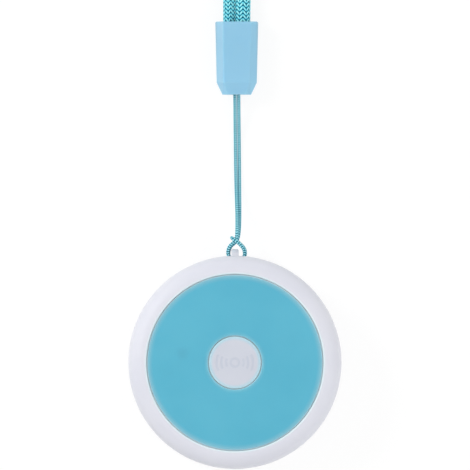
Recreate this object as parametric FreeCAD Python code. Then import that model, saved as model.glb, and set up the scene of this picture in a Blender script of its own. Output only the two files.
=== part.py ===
import FreeCAD, Part
import math
import os

from FreeCAD import Vector

# Wearable round tracker on a neck lanyard, in millimetres. It lies on its back: the origin is the centre of the
# flat rear face, +Z points out of the front, and +Y points along the lanyard.

# Clearances
SLIP = 0.1            # between parts that are laid in beside each other
SCREW_GAP = 0.15      # screw shank in a through hole
THREAD_GAP = 0.03     # screw shank in its moulded pilot hole
RUN_GAP = 0.05        # turning and sliding fits

# Stack from the rear face to the front
FLOOR = 1.3
PAD_HEIGHT = 0.3
BATTERY_HEIGHT = 4.0
BATTERY_GAP = 0.5
BOARD_THICK = 1.0
PATCH_HEIGHT = 4.0
PATCH_GAP = 0.2
DECK_THICK = 1.2
FILM_THICK = 0.15
PLATE_THICK = 1.2
PLATE_SUNK = 0.15

PAD_TOP = FLOOR + PAD_HEIGHT
BATTERY_TOP = PAD_TOP + BATTERY_HEIGHT
BOARD_LOW = BATTERY_TOP + BATTERY_GAP
BOARD_TOP = BOARD_LOW + BOARD_THICK
DECK_LOW = BOARD_TOP + PATCH_HEIGHT + PATCH_GAP
DECK_TOP = DECK_LOW + DECK_THICK
PLATE_LOW = DECK_TOP + FILM_THICK
PLATE_TOP = PLATE_LOW + PLATE_THICK
CASE_HEIGHT = PLATE_TOP + PLATE_SUNK

# Face and rim
PLATE_RADIUS = 19.0
PLATE_CROWN = 0.15
PLATE_GAP = 0.06
PLATE_EDGE = 0.35
RIM_WIDTH = 3.94
RIM_ROUND = 3.6
RIM_LIP_BEVEL = 0.2
WALL = 1.5
BACK_ROUND = 3.2
INNER_CORNER = 1.4
RIM_INNER = PLATE_RADIUS + PLATE_GAP
CASE_RADIUS = RIM_INNER + RIM_WIDTH
INNER_RADIUS = CASE_RADIUS - WALL

# Joint between the shells: a standing lip inside the front shell's skirt, with the gasket on the lip
LIP_HEIGHT = 1.2
LIP_THICK = 0.65
GASKET_HEIGHT = 0.5
LINE_CHAMFER = 0.15
LIP_TOP = DECK_LOW - GASKET_HEIGHT
PARTING = LIP_TOP - LIP_HEIGHT
LIP_RADIUS = INNER_RADIUS + LIP_THICK

# Call button, its switch and its seal
BUTTON_RADIUS = 5.68
BUTTON_GAP = 0.08
BUTTON_SUNK = 0.1
BUTTON_CROWN = 0.1
BUTTON_WALL = 1.0
BUTTON_EDGE = 0.35
BUTTON_TRAVEL = 0.35
FLANGE_CATCH = 0.65
FLANGE_THICK = 0.7
STEM_RADIUS = 1.3
STEM_RIB = 0.7
SEAL_THICK = 0.5
SEAL_WALL = 0.45
SEAL_RIM = 1.4
SEAL_RIM_HEIGHT = 0.6
RETAINER_HEIGHT = 0.7
COLLAR_WALL = 0.7
SWITCH_SIDE = 4.5
SWITCH_HEIGHT = 1.6
SWITCH_LID = 0.3
PLUNGER_RADIUS = 1.2
PLUNGER_PROUD = 0.6
PLUNGER_FLANGE = 0.3

HOLE_RADIUS = BUTTON_RADIUS + BUTTON_GAP
BUTTON_TOP = PLATE_TOP - BUTTON_SUNK
FLANGE_RADIUS = BUTTON_RADIUS + FLANGE_CATCH
FLANGE_TOP = DECK_LOW - RUN_GAP
FLANGE_LOW = FLANGE_TOP - FLANGE_THICK
SEAL_INNER = FLANGE_RADIUS + 2 * SLIP
SEAL_OUTER = SEAL_INNER + SEAL_WALL
SEAL_RIM_RADIUS = SEAL_INNER + SEAL_RIM
COLLAR_INNER = SEAL_RIM_RADIUS + SLIP
COLLAR_OUTER = COLLAR_INNER + COLLAR_WALL
COLLAR_LOW = DECK_LOW - SEAL_RIM_HEIGHT - RETAINER_HEIGHT
SWITCH_TOP = BOARD_TOP + SWITCH_HEIGHT
SWITCH_FLOOR = SWITCH_HEIGHT - SWITCH_LID - PLUNGER_FLANGE - BUTTON_TRAVEL - 2 * RUN_GAP
PLUNGER_TOP = SWITCH_TOP + PLUNGER_PROUD
SEAL_TOP = PLUNGER_TOP + SEAL_THICK

# Bail: an arch across a dished pocket in the rear shell's edge
BAIL_WIDTH = 1.6
BAIL_PROUD = 1.45
BAIL_THICK = 1.25
BAIL_SPAN = 5.6
BAIL_ROUND = 0.35
BAIL_BELOW_LINE = 0.3
POCKET_HALF_WIDTH = 3.3
POCKET_DEPTH = 1.8
POCKET_WALL = 1.2
POCKET_ROUND = 0.8
BAIL_Z = PARTING - BAIL_BELOW_LINE - BAIL_SPAN / 2
ARCH_RADIUS = ((BAIL_SPAN / 2) ** 2 + BAIL_PROUD ** 2) / (2 * BAIL_PROUD)
ARCH_Y = CASE_RADIUS + BAIL_PROUD - ARCH_RADIUS
POCKET_HALF_HEIGHT = ARCH_RADIUS - BAIL_THICK
POCKET_Y = CASE_RADIUS - POCKET_DEPTH
POCKET_MOUTH_Y = math.sqrt(CASE_RADIUS ** 2 - POCKET_HALF_WIDTH ** 2)
POCKET_RISE = POCKET_MOUTH_Y - POCKET_Y
DISH_RADIUS = (POCKET_HALF_WIDTH ** 2 + POCKET_RISE ** 2) / (2 * POCKET_RISE)
DISH_Y = POCKET_Y + DISH_RADIUS
BULGE_Y = POCKET_Y - POCKET_WALL

# Board and screws
BOARD_MARGIN = 1.5
BOARD_RADIUS = INNER_RADIUS - BOARD_MARGIN
BOARD_FLAT_GAP = 0.6
SCREW_EDGE = 1.8
SCREW_CIRCLE = BOARD_RADIUS - SCREW_EDGE
SCREW_ANGLES = (45, 135, 225, 315)
SCREW_RADIUS = 0.8
SCREW_HEAD_RADIUS = 1.5
SCREW_HEAD_HEIGHT = 0.9
SCREW_HEAD_SUNK = 0.2
SCREW_BITE = 3.2
SCREW_CROSS_WIDTH = 0.35
SCREW_CROSS_LENGTH = 1.7
SCREW_CROSS_DEPTH = 0.45
HEAD_SEAT = SCREW_HEAD_SUNK + SCREW_HEAD_HEIGHT
REAR_BOSS_RADIUS = 2.4
FRONT_BOSS_RADIUS = 2.0
SHELL_RIB = 0.8
DECK_RIB_HEIGHT = 0.8
DECK_RIB_ANGLES = (0, 180, 250, 290)

# Battery and its lead
BATTERY_WIDTH = 20.0
BATTERY_LENGTH = 25.0
BATTERY_ROUND = 1.2
BATTERY_FOLD = 1.0
BATTERY_FOLD_DROP = 0.8
BATTERY_FOLD_CORNER = 0.3
BATTERY_BEVEL = 0.5
PAD_MARGIN = 2.0
FENCE_GAP = 0.2
FENCE_WALL = 0.6
FENCE_HEIGHT = 2.0
FENCE_WINDOW = 0.6     # share of each side of the fence that is left open
LEAD_RADIUS = 0.4
LEAD_SPACING = 1.1
LEAD_BELOW_FOLD = 0.5
LEAD_REACH = 4.4         # along X from the cell's end of the lead to the plug
LEAD_OUT = 1.9           # straight run out of the cell
LEAD_ASIDE = 1.4         # sideways step of the slanting run
SOCKET_SIZE = (4.4, 3.2, 1.5)
SOCKET_CENTRE = (3.6, -16.4)
PLUG_LENGTH = 2.2
PLUG_SHARE = 0.7         # plug's width and height over the socket's
PLUG_CORNER = 0.15

# Loudspeaker, charge pins and magnets, left and right of the battery
SPEAKER_LENGTH = 12.0
SPEAKER_HEIGHT = 3.0
SPEAKER_GAP = 0.2
SPEAKER_INNER_X = BATTERY_WIDTH / 2 + FENCE_GAP + FENCE_WALL + SPEAKER_GAP
SPEAKER_OUTER_X = math.sqrt((INNER_RADIUS - INNER_CORNER) ** 2 - (SPEAKER_LENGTH / 2) ** 2) - SPEAKER_GAP
SPEAKER_WIDTH = SPEAKER_OUTER_X - SPEAKER_INNER_X
SPEAKER_CENTRE_X = -(SPEAKER_INNER_X + SPEAKER_OUTER_X) / 2
SPEAKER_ROUND = 1.5
SPEAKER_CONE = (2.9, 1.6, 0.6)     # radius at the mouth, radius at the bottom, depth
SPEAKER_POST = 0.5
SPEAKER_POST_Y = 3.8
SPEAKER_GASKET = 0.3
SPEAKER_GASKET_WIDTH = 0.9
SLOT_COUNT = 5
SLOT_PITCH = 1.6
SLOT_WIDTH = 0.7
SLOT_MARGIN = 0.6
SLOT_LENGTH = SPEAKER_WIDTH - 2 * SPEAKER_GASKET_WIDTH - 2 * SLOT_MARGIN
PIN_X = 14.6
PIN_PITCH = 2.54
PIN_COUNT = 4
PIN_RADIUS = 1.0
PIN_FLANGE = 0.3
PIN_FLANGE_HEIGHT = 0.4
PIN_STEM = 0.55
PIN_SUNK = 0.15
CONTACT_RECESS = (4.4, 13.0, 0.4)
MAGNET_RADIUS = 2.0
MAGNET_HEIGHT = 1.6
MAGNET_Y = 8.2
CUP_WALL = 0.6
CUP_HEIGHT = 1.2

# Parts on the board, as centre and size
PATCH_SIDE = 10.0
PATCH_CORNER = 0.5
PATCH_METAL = 7.6
PATCH_METAL_CORNER = 0.6
PATCH_Y = COLLAR_OUTER + 3 * SLIP + PATCH_SIDE / 2
CAN_STEP = 0.25
CAN_CORNER = 0.3
CHIP_CORNER = 0.15
MODULE_SIZE = (16.0, 10.5, 1.2)
MODULE_CENTRE = (0.0, -11.2)
RECEIVER_SIZE = (5.5, 5.5, 1.3)
RECEIVER_CENTRE = (-9.5, 6.2)
CONTROLLER_SIZE = (6.0, 4.5, 0.8)
CONTROLLER_CENTRE = (0.0, 5.9)
SENSOR_SIZE = (2.5, 2.5, 0.9)
SENSOR_CENTRE = (-5.6, -2.2)
HOLDER_SIZE = (11.5, 13.5, 1.35)
HOLDER_CENTRE = (12.2, 1.0)
HOLDER_SHEET = 0.2
HOLDER_WINDOW = (6.2, 9.4)
CARD_SIZE = (8.8, 12.3, 0.67)
CARD_CORNER = 1.6
MOTOR_RADIUS = 4.0
MOTOR_HEIGHT = 2.7
MOTOR_SHEET = 0.25
MOTOR_BASE = 0.45
MOTOR_SHAFT = 0.4
MOTOR_CENTRE = (-13.2, -3.0)
ROTOR_RADIUS = 3.4
ROTOR_HUB = 1.0
ROTOR_HEIGHT = 1.4
LAMP_SIZE = (1.6, 0.8, 0.6)
LAMP_CENTRE = (-11.3, 2.0)
GUIDE_RADIUS = 1.0
GUIDE_WALL = 0.7
GUIDE_SLEEVE = 1.5
MIC_SIZE = (2.8, 1.9, 1.0)
MIC_CENTRE = (-4.0, 16.3)
MIC_HOLE = 0.5
BOOT_WALL = 1.0
FLEX_THICK = 0.18
FLEX_HEIGHT = 5.0
FLEX_LOW = 3.4
FLEX_ARC = (230, 310)
SPRING_SEAT = 1.4
SPRING_EDGE = 0.2
SPRING_DROP = 1.2
SPRING_FACE = 1.0
SPRING_WIDTH = 1.2
SPRING_SHEET = 0.2

# Ferrule and the crimp in it
LANYARD_X = 0.4
FERRULE_LOW_Y = 57.85
FERRULE_TOP_Y = 73.65
FERRULE_TOP_WIDTH = 9.3
FERRULE_LOW_WIDTH = 8.7
FERRULE_NOSE_WIDTH = 6.2
FERRULE_NOSE_LENGTH = 2.65
FERRULE_THICK = 6.2
FERRULE_NOSE_THICK = 4.4
FERRULE_BEVEL = 1.6
FERRULE_NOSE_BEVEL = 1.1
FERRULE_TOP_BEVEL = 0.25
FERRULE_EDGE = 0.5
FERRULE_Z = FERRULE_THICK / 2
NECK_DIAMETER = 3.0
NECK_SPACING = 3.04
NECK_GAP = 0.15
HITCH_DIAMETER = 0.8
HITCH_SPACING = 0.82
HITCH_GAP = 0.1
CRIMP_LENGTH = 4.0
CRIMP_BEVEL = 0.2
CRIMP_LOW_Y = FERRULE_LOW_Y + FERRULE_NOSE_LENGTH + 1.3
CRIMP_TOP_Y = CRIMP_LOW_Y + CRIMP_LENGTH
STRAIGHT_OUT_HITCH = FERRULE_LOW_Y - 1.0
STRAIGHT_OUT_NECK = FERRULE_TOP_Y + 1.5
ARC_SHARE = 0.45      # share of the shorter run at a corner of a cord's route that its arc takes

# Thin cord: from the crimp down to the bail, a lark's head round it, and back up. Points chosen by hand.
HITCH_ROUTE = (
    (LANYARD_X - HITCH_SPACING / 2, CRIMP_LOW_Y, FERRULE_Z),
    (LANYARD_X - HITCH_SPACING / 2, STRAIGHT_OUT_HITCH, FERRULE_Z),
    (0.09, 48.5, 0.45),
    (0.22, 38.5, 0.85),
    (0.47, 32.0, 3.03),
    (0.45, 28.6, 6.92),
    (0.37, 26.35, 6.92),
    (-1.54, 24.85, 6.92),
    (-1.47, 22.35, 6.92),
    (2.05, 22.35, 6.92),
    (2.14, 24.3, 7.25),
    (0.85, 25.7, 7.83),
    (-0.66, 26.82, 7.75),
    (-0.69, 26.92, 5.27),
    (0.75, 26.0, 5.17),
    (2.34, 24.4, 5.72),
    (2.12, 22.35, 6.07),
    (-1.42, 22.35, 6.07),
    (-1.30, 24.78, 6.07),
    (0.57, 26.2, 6.07),
    (0.92, 28.1, 6.07),
    (1.06, 31.53, 2.6),
    (1.00, 38.15, 0.42),
    (0.91, 48.5, 0.42),
    (LANYARD_X + HITCH_SPACING / 2, STRAIGHT_OUT_HITCH, FERRULE_Z),
    (LANYARD_X + HITCH_SPACING / 2, CRIMP_LOW_Y, FERRULE_Z),
)

# Neck cord: two runs out of the ferrule, down to the surface and apart, into one put-away coil.
COIL_X = LANYARD_X
COIL_Y = 110.0
COIL_INNER = 9.0
COIL_OUTER = 24.0
COIL_HEIGHT = 6.0
COIL_BEVEL = 1.0
LEFT_ROUTE = (
    (LANYARD_X - NECK_SPACING / 2, CRIMP_TOP_Y, FERRULE_Z),
    (LANYARD_X - NECK_SPACING / 2, STRAIGHT_OUT_NECK, FERRULE_Z),
    (-1.25, 82.3, 1.75),
    (-5.3, 89.5, 1.52),
    (-15.5, 93.6, 1.52),
    (-20.6, 101.0, 1.52),
    (-20.63, 108.0, 1.52),
)
RIGHT_ROUTE = (
    (LANYARD_X + NECK_SPACING / 2, CRIMP_TOP_Y, FERRULE_Z),
    (LANYARD_X + NECK_SPACING / 2, STRAIGHT_OUT_NECK, FERRULE_Z),
    (1.81, 82.3, 1.75),
    (6.1, 89.5, 1.52),
    (17.2, 93.5, 1.52),
    (22.6, 101.0, 1.52),
    (22.67, 108.0, 1.52),
)


# Geometry helpers

def outline(start, *steps):
    """Closed outline in the XZ plane. A step of two numbers is a side to that point, and a step of two points is
    an arc through the first of them to the second."""
    def at(point):
        return Vector(point[0], 0, point[1])
    edges = []
    here = start
    for step in steps + (start,):
        if isinstance(step[0], tuple):
            edges.append(Part.Arc(at(here), at(step[0]), at(step[1])).toShape())
            here = step[1]
        elif math.dist(here, step) > 1e-6:
            edges.append(Part.LineSegment(at(here), at(step)).toShape())
            here = step
    return Part.Wire(edges)


def quarter(centre, radius, first, last):
    """Step of an outline along a circle from one angle to another: its middle point and its end."""
    def on_circle(angle):
        turn = math.radians(angle)
        return (centre[0] + radius * math.cos(turn), centre[1] + radius * math.sin(turn))
    return (on_circle((first + last) / 2), on_circle(last))


def turned(start, *steps):
    """Solid of revolution about Z."""
    face = Part.Face(outline(start, *steps))
    return face.revolve(Vector(0, 0, 0), Vector(0, 0, 1), 360)


def disc(radius, low, top, x=0.0, y=0.0):
    return Part.makeCylinder(radius, top - low, Vector(x, y, low))


def ring(outer, inner, low, top, x=0.0, y=0.0):
    return disc(outer, low, top, x, y).cut(disc(inner, low - 1, top + 1, x, y))


def rounded(width, length, corner, low, top, x=0.0, y=0.0):
    """Upright block with rounded corners, centred on x, y."""
    block = Part.makeBox(width, length, top - low, Vector(x - width / 2, y - length / 2, low))
    if corner <= 0:
        return block
    return block.makeFillet(corner, [edge for edge in block.Edges if upright(edge)])


def upright(edge):
    first = edge.Vertexes[0].Point
    last = edge.Vertexes[-1].Point
    return abs(first.x - last.x) < 1e-6 and abs(first.y - last.y) < 1e-6


def top_edges(shape, level):
    """Edges that lie flat at one height."""
    return [edge for edge in shape.Edges
            if all(abs(vertex.Z - level) < 1e-5 for vertex in edge.Vertexes)
            and abs(edge.BoundBox.ZMax - edge.BoundBox.ZMin) < 1e-5]


def around(radius, angle):
    turn = math.radians(angle)
    return radius * math.cos(turn), radius * math.sin(turn)


def spoke(inner, outer, width, low, top, angle):
    """Straight rib from one radius to another."""
    rib = Part.makeBox(outer - inner, width, top - low, Vector(inner, -width / 2, low))
    rib.rotate(Vector(0, 0, 0), Vector(0, 0, 1), angle)
    return rib


def extruded(points, direction):
    """Flat polygon pushed along a direction."""
    corners = [Vector(*point) for point in points]
    return Part.Face(Part.makePolygon(corners + corners[:1])).extrude(Vector(*direction))


def cord_path(points):
    """Straight runs joined by tangent arcs, each as large as its two runs allow."""
    corners = [Vector(*point) for point in points]
    edges = []
    radii = []
    start = corners[0]
    for before, corner, after in zip(corners, corners[1:], corners[2:]):
        into = (corner - before).normalize()
        away = (after - corner).normalize()
        half_turn = into.getAngle(away) / 2
        reach = ARC_SHARE * min(corner.distanceToPoint(before), corner.distanceToPoint(after))
        radius = reach / math.tan(half_turn)
        middle = corner + (away - into).normalize() * (radius / math.cos(half_turn) - radius)
        first = corner - into * reach
        last = corner + away * reach
        edges.append(Part.LineSegment(start, first).toShape())
        edges.append(Part.Arc(first, middle, last).toShape())
        radii.append(radius)
        start = last
    edges.append(Part.LineSegment(start, corners[-1]).toShape())
    return Part.Wire(edges), radii


def cord(name, points, diameter):
    path, radii = cord_path(points)
    first = path.Edges[0]
    start = Vector(*points[0])
    section = Part.Wire([Part.makeCircle(diameter / 2, start, first.tangentAt(first.FirstParameter))])
    tube = path.makePipeShell([section], True, True)
    expected = math.pi * diameter ** 2 / 4 * path.Length
    print(name, "length", round(path.Length, 1), "volume / expected", round(tube.Volume / expected, 5),
          "radii", [round(radius, 2) for radius in radii])
    return tube


# Case

def rear_shell():
    shell = turned(
        (0, 0), (CASE_RADIUS - BACK_ROUND, 0),
        quarter((CASE_RADIUS - BACK_ROUND, BACK_ROUND), BACK_ROUND, -90, 0),
        (CASE_RADIUS, PARTING - LINE_CHAMFER), (CASE_RADIUS - LINE_CHAMFER, PARTING),
        (LIP_RADIUS, PARTING), (LIP_RADIUS, LIP_TOP), (INNER_RADIUS, LIP_TOP),
        (INNER_RADIUS, FLOOR + INNER_CORNER), (INNER_RADIUS - INNER_CORNER, FLOOR), (0, FLOOR))
    inside = disc(INNER_RADIUS + WALL / 2, FLOOR / 2, PARTING)
    for part in rear_features():
        shell = shell.fuse(part.common(inside))
    for hole in rear_holes():
        shell = shell.cut(hole)
    return shell.cut(bail_pocket()).fuse(bail_arch()).removeSplitter()


def rear_features():
    """Everything that stands on the rear shell's floor."""
    parts = [disc(DISH_RADIUS + POCKET_WALL, FLOOR / 2, PARTING, 0, DISH_Y)]
    for angle in SCREW_ANGLES:
        x, y = around(SCREW_CIRCLE, angle)
        parts.append(disc(REAR_BOSS_RADIUS, FLOOR / 2, BOARD_LOW, x, y))
        parts.append(spoke(SCREW_CIRCLE, INNER_RADIUS + WALL / 2, SHELL_RIB, FLOOR / 2, BOARD_LOW, angle))
    for side in (-1, 1):
        cup = MAGNET_RADIUS + SLIP + CUP_WALL
        parts.append(disc(cup, FLOOR / 2, FLOOR + CUP_HEIGHT, PIN_X, side * MAGNET_Y))
    parts.append(battery_fence())
    parts.append(disc(MIC_HOLE + BOOT_WALL + SLIP + CUP_WALL, FLOOR / 2, FLOOR + CUP_HEIGHT, *MIC_CENTRE))
    return parts


def battery_fence():
    """Low wall round the battery, open in the middle of each side."""
    width = BATTERY_WIDTH + 2 * FENCE_GAP
    length = BATTERY_LENGTH + 2 * FENCE_GAP
    top = FLOOR + FENCE_HEIGHT
    fence = rounded(width + 2 * FENCE_WALL, length + 2 * FENCE_WALL, BATTERY_ROUND + FENCE_WALL, FLOOR / 2, top)
    fence = fence.cut(rounded(width, length, BATTERY_ROUND, 0, top + 1))
    across = rounded(2 * CASE_RADIUS, length * FENCE_WINDOW, 0, 0, top + 1)
    along = rounded(width * FENCE_WINDOW, 2 * CASE_RADIUS, 0, 0, top + 1)
    return fence.cut(across).cut(along)


def rear_holes():
    """Cuts in the rear shell: screws, sound slots, charge pins and their recess, microphone, magnet seats."""
    holes = []
    for angle in SCREW_ANGLES:
        x, y = around(SCREW_CIRCLE, angle)
        holes.append(disc(SCREW_HEAD_RADIUS + SCREW_GAP, -1, HEAD_SEAT, x, y))
        holes.append(disc(SCREW_RADIUS + SCREW_GAP, -1, BOARD_LOW + 1, x, y))
    for index in range(SLOT_COUNT):
        y = (index - (SLOT_COUNT - 1) / 2) * SLOT_PITCH
        end_round = SLOT_WIDTH / 2 - RUN_GAP
        holes.append(rounded(SLOT_LENGTH, SLOT_WIDTH, end_round, -1, FLOOR + 1, SPEAKER_CENTRE_X, y))
    for x, y in pin_places():
        holes.append(disc(PIN_RADIUS + RUN_GAP, -1, FLOOR + 1, x, y))
    holes.append(rounded(CONTACT_RECESS[0], CONTACT_RECESS[1], CONTACT_RECESS[0] / 2 - RUN_GAP,
                         -1, CONTACT_RECESS[2], PIN_X, 0))
    for side in (-1, 1):
        holes.append(disc(MAGNET_RADIUS + SLIP, FLOOR, FLOOR + CUP_HEIGHT + 1, PIN_X, side * MAGNET_Y))
    holes.append(disc(MIC_HOLE, -1, FLOOR + 1, *MIC_CENTRE))
    holes.append(disc(MIC_HOLE + BOOT_WALL + SLIP, FLOOR, FLOOR + CUP_HEIGHT + 1, *MIC_CENTRE))
    return holes


def bail_pocket():
    """Dished pocket under the bail: a rounded slot along X with a curved floor."""
    dish = disc(DISH_RADIUS, BAIL_Z - POCKET_HALF_HEIGHT, BAIL_Z + POCKET_HALF_HEIGHT, 0, DISH_Y)
    slot = Part.makeBox(4 * POCKET_HALF_WIDTH, 3 * DISH_RADIUS, 2 * POCKET_HALF_HEIGHT,
                        Vector(-2 * POCKET_HALF_WIDTH, POCKET_Y, BAIL_Z - POCKET_HALF_HEIGHT))
    floor_edges = [edge for edge in slot.Edges
                   if all(abs(vertex.Y - POCKET_Y) < 1e-6 for vertex in edge.Vertexes)
                   and abs(edge.BoundBox.ZMax - edge.BoundBox.ZMin) < 1e-6]
    return dish.common(slot.makeFillet(POCKET_ROUND, floor_edges))


def bail_arch():
    """Arch of one thickness, from one end of the pocket to the other."""
    side = Vector(-BAIL_WIDTH / 2, ARCH_Y, BAIL_Z)
    outside = Part.makeCylinder(ARCH_RADIUS, BAIL_WIDTH, side, Vector(1, 0, 0))
    around_arch = math.tau * ARCH_RADIUS
    rims = [edge for edge in outside.Edges if edge.Closed and abs(edge.Length - around_arch) < 1e-3]
    outside = outside.makeFillet(BAIL_ROUND, rims)
    inside = Part.makeCylinder(ARCH_RADIUS - BAIL_THICK, BAIL_WIDTH + 2, side - Vector(1, 0, 0),
                               Vector(1, 0, 0))
    half = BAIL_SPAN / 2 + BAIL_BELOW_LINE / 2
    keep = Part.makeBox(BAIL_WIDTH, BAIL_PROUD + 1, 2 * half,
                        Vector(-BAIL_WIDTH / 2, CASE_RADIUS - WALL / 2, BAIL_Z - half))
    return outside.cut(inside).common(keep)


def front_shell():
    skirt = LIP_RADIUS + RUN_GAP
    shell = turned(
        (HOLE_RADIUS, DECK_LOW), (HOLE_RADIUS, DECK_TOP), (RIM_INNER, DECK_TOP),
        (RIM_INNER, CASE_HEIGHT - RIM_LIP_BEVEL), (RIM_INNER + RIM_LIP_BEVEL, CASE_HEIGHT),
        (CASE_RADIUS - RIM_ROUND, CASE_HEIGHT),
        quarter((CASE_RADIUS - RIM_ROUND, CASE_HEIGHT - RIM_ROUND), RIM_ROUND, 90, 0),
        (CASE_RADIUS, PARTING + LINE_CHAMFER), (CASE_RADIUS - LINE_CHAMFER, PARTING),
        (skirt, PARTING), (skirt, DECK_LOW))
    overlap = DECK_THICK / 2
    shell = shell.fuse(ring(COLLAR_OUTER, COLLAR_INNER, COLLAR_LOW, DECK_LOW + overlap))
    shell = shell.fuse(disc(GUIDE_RADIUS + RUN_GAP + GUIDE_WALL, DECK_LOW - GUIDE_SLEEVE, DECK_LOW + overlap,
                            *LAMP_CENTRE))
    rib_low = DECK_LOW - DECK_RIB_HEIGHT
    rib_top = DECK_LOW + overlap
    rib_start = COLLAR_OUTER - COLLAR_WALL / 2
    for angle in SCREW_ANGLES:
        x, y = around(SCREW_CIRCLE, angle)
        shell = shell.fuse(disc(FRONT_BOSS_RADIUS, BOARD_TOP, rib_top, x, y))
        shell = shell.fuse(spoke(rib_start, SCREW_CIRCLE, SHELL_RIB, rib_low, rib_top, angle))
    for angle in DECK_RIB_ANGLES:
        shell = shell.fuse(spoke(rib_start, INNER_RADIUS - SLIP, SHELL_RIB, rib_low, rib_top, angle))
    for angle in SCREW_ANGLES:
        x, y = around(SCREW_CIRCLE, angle)
        shell = shell.cut(disc(SCREW_RADIUS + THREAD_GAP, BOARD_TOP - 1, BOARD_TOP + SCREW_BITE + SLIP, x, y))
    shell = shell.cut(disc(GUIDE_RADIUS + RUN_GAP, DECK_LOW - GUIDE_SLEEVE - 1, DECK_TOP + 1, *LAMP_CENTRE))
    return shell.removeSplitter()


def crowned(inner, outer, low, edge_top, crown):
    """Ring or disc with a flat underside and a slightly domed top."""
    dome = (outer ** 2 + crown ** 2) / (2 * crown)
    centre = edge_top + crown - dome

    def on_dome(radius):
        return (radius, centre + math.sqrt(dome ** 2 - radius ** 2))
    return turned((inner, low), (outer, low), (outer, edge_top), (on_dome((inner + outer) / 2), on_dome(inner)))


def face_plate():
    plate = crowned(HOLE_RADIUS, PLATE_RADIUS, PLATE_LOW, PLATE_TOP - PLATE_CROWN, PLATE_CROWN)
    edges = [edge for edge in plate.Edges if edge.Closed and edge.BoundBox.ZMin > PLATE_TOP - 2 * PLATE_CROWN]
    return plate.makeFillet(PLATE_EDGE, edges)


def plate_film():
    film = ring(PLATE_RADIUS - 3 * SLIP, HOLE_RADIUS + 3 * SLIP, DECK_TOP, PLATE_LOW)
    return film.cut(disc(GUIDE_RADIUS + 2 * SLIP, DECK_TOP - 1, PLATE_LOW + 1, *LAMP_CENTRE))


def shell_gasket():
    return ring(LIP_RADIUS, INNER_RADIUS, LIP_TOP, DECK_LOW)


def case_screws():
    screws = []
    for angle in SCREW_ANGLES:
        x, y = around(SCREW_CIRCLE, angle)
        head = disc(SCREW_HEAD_RADIUS, SCREW_HEAD_SUNK, HEAD_SEAT, x, y)
        head = head.makeChamfer(SCREW_HEAD_HEIGHT / 4, top_edges(head, SCREW_HEAD_SUNK))
        shank = disc(SCREW_RADIUS, HEAD_SEAT - SCREW_HEAD_HEIGHT / 2, BOARD_TOP + SCREW_BITE, x, y)
        screw = head.fuse(shank.makeChamfer(SCREW_RADIUS / 2, top_edges(shank, BOARD_TOP + SCREW_BITE)))
        depth = SCREW_HEAD_SUNK + SCREW_CROSS_DEPTH
        arms = (SCREW_CROSS_WIDTH, SCREW_CROSS_LENGTH)
        for width, length in (arms, arms[::-1]):
            screw = screw.cut(rounded(width, length, 0, SCREW_HEAD_SUNK - 1, depth, x, y))
        screws.append(screw)
    return Part.Compound(screws)


# Button

def call_button():
    side = BUTTON_RADIUS - BUTTON_EDGE
    dome = (side ** 2 + BUTTON_CROWN ** 2) / (2 * BUTTON_CROWN)
    edge_top = BUTTON_TOP - BUTTON_CROWN
    middle = (side / 2, BUTTON_TOP - dome + math.sqrt(dome ** 2 - (side / 2) ** 2))
    inner = BUTTON_RADIUS - BUTTON_WALL
    roof = edge_top - BUTTON_WALL
    cap = turned(
        (0, roof), (inner, roof), (inner, FLANGE_LOW), (FLANGE_RADIUS, FLANGE_LOW), (FLANGE_RADIUS, FLANGE_TOP),
        (BUTTON_RADIUS, FLANGE_TOP), (BUTTON_RADIUS, edge_top - BUTTON_EDGE),
        quarter((side, edge_top - BUTTON_EDGE), BUTTON_EDGE, 0, 90),
        (middle, (0, BUTTON_TOP)))
    cap = cap.fuse(disc(STEM_RADIUS, SEAL_TOP, roof + BUTTON_WALL / 2))
    rib_end = inner + BUTTON_WALL / 2
    rib_top = roof + BUTTON_WALL / 2
    for angle in (0, 90, 180, 270):
        cap = cap.fuse(spoke(STEM_RADIUS / 2, rib_end, STEM_RIB, FLANGE_TOP, rib_top, angle))
    return cap.removeSplitter()


def button_seal():
    """Soft cup hung under the deck by its rim, with a crown between the button's stem and the switch."""
    return turned(
        (0, PLUNGER_TOP), (SEAL_OUTER, PLUNGER_TOP), (SEAL_OUTER, DECK_LOW - SEAL_RIM_HEIGHT),
        (SEAL_RIM_RADIUS, DECK_LOW - SEAL_RIM_HEIGHT), (SEAL_RIM_RADIUS, DECK_LOW), (SEAL_INNER, DECK_LOW),
        (SEAL_INNER, SEAL_TOP), (0, SEAL_TOP))


def seal_retainer():
    return ring(COLLAR_INNER - RUN_GAP, SEAL_OUTER + RUN_GAP, COLLAR_LOW, DECK_LOW - SEAL_RIM_HEIGHT)


def switch_body():
    """Square tact switch housing with a stepped well for the plunger and its flange."""
    body = rounded(SWITCH_SIDE, SWITCH_SIDE, SWITCH_SIDE / 12, BOARD_TOP, SWITCH_TOP)
    flange = PLUNGER_RADIUS + PLUNGER_FLANGE
    body = body.cut(disc(flange + RUN_GAP, BOARD_TOP + SWITCH_FLOOR, SWITCH_TOP - SWITCH_LID))
    return body.cut(disc(PLUNGER_RADIUS + RUN_GAP, SWITCH_TOP - SWITCH_LID - RUN_GAP, SWITCH_TOP + 1))


def switch_plunger():
    """Plunger that the button's stem pushes through the seal, so it moves as one with the cap."""
    lid_low = SWITCH_TOP - SWITCH_LID - RUN_GAP
    flange = disc(PLUNGER_RADIUS + PLUNGER_FLANGE, lid_low - PLUNGER_FLANGE, lid_low)
    return flange.fuse(disc(PLUNGER_RADIUS, lid_low - PLUNGER_FLANGE, PLUNGER_TOP)).removeSplitter()


# Board

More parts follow.
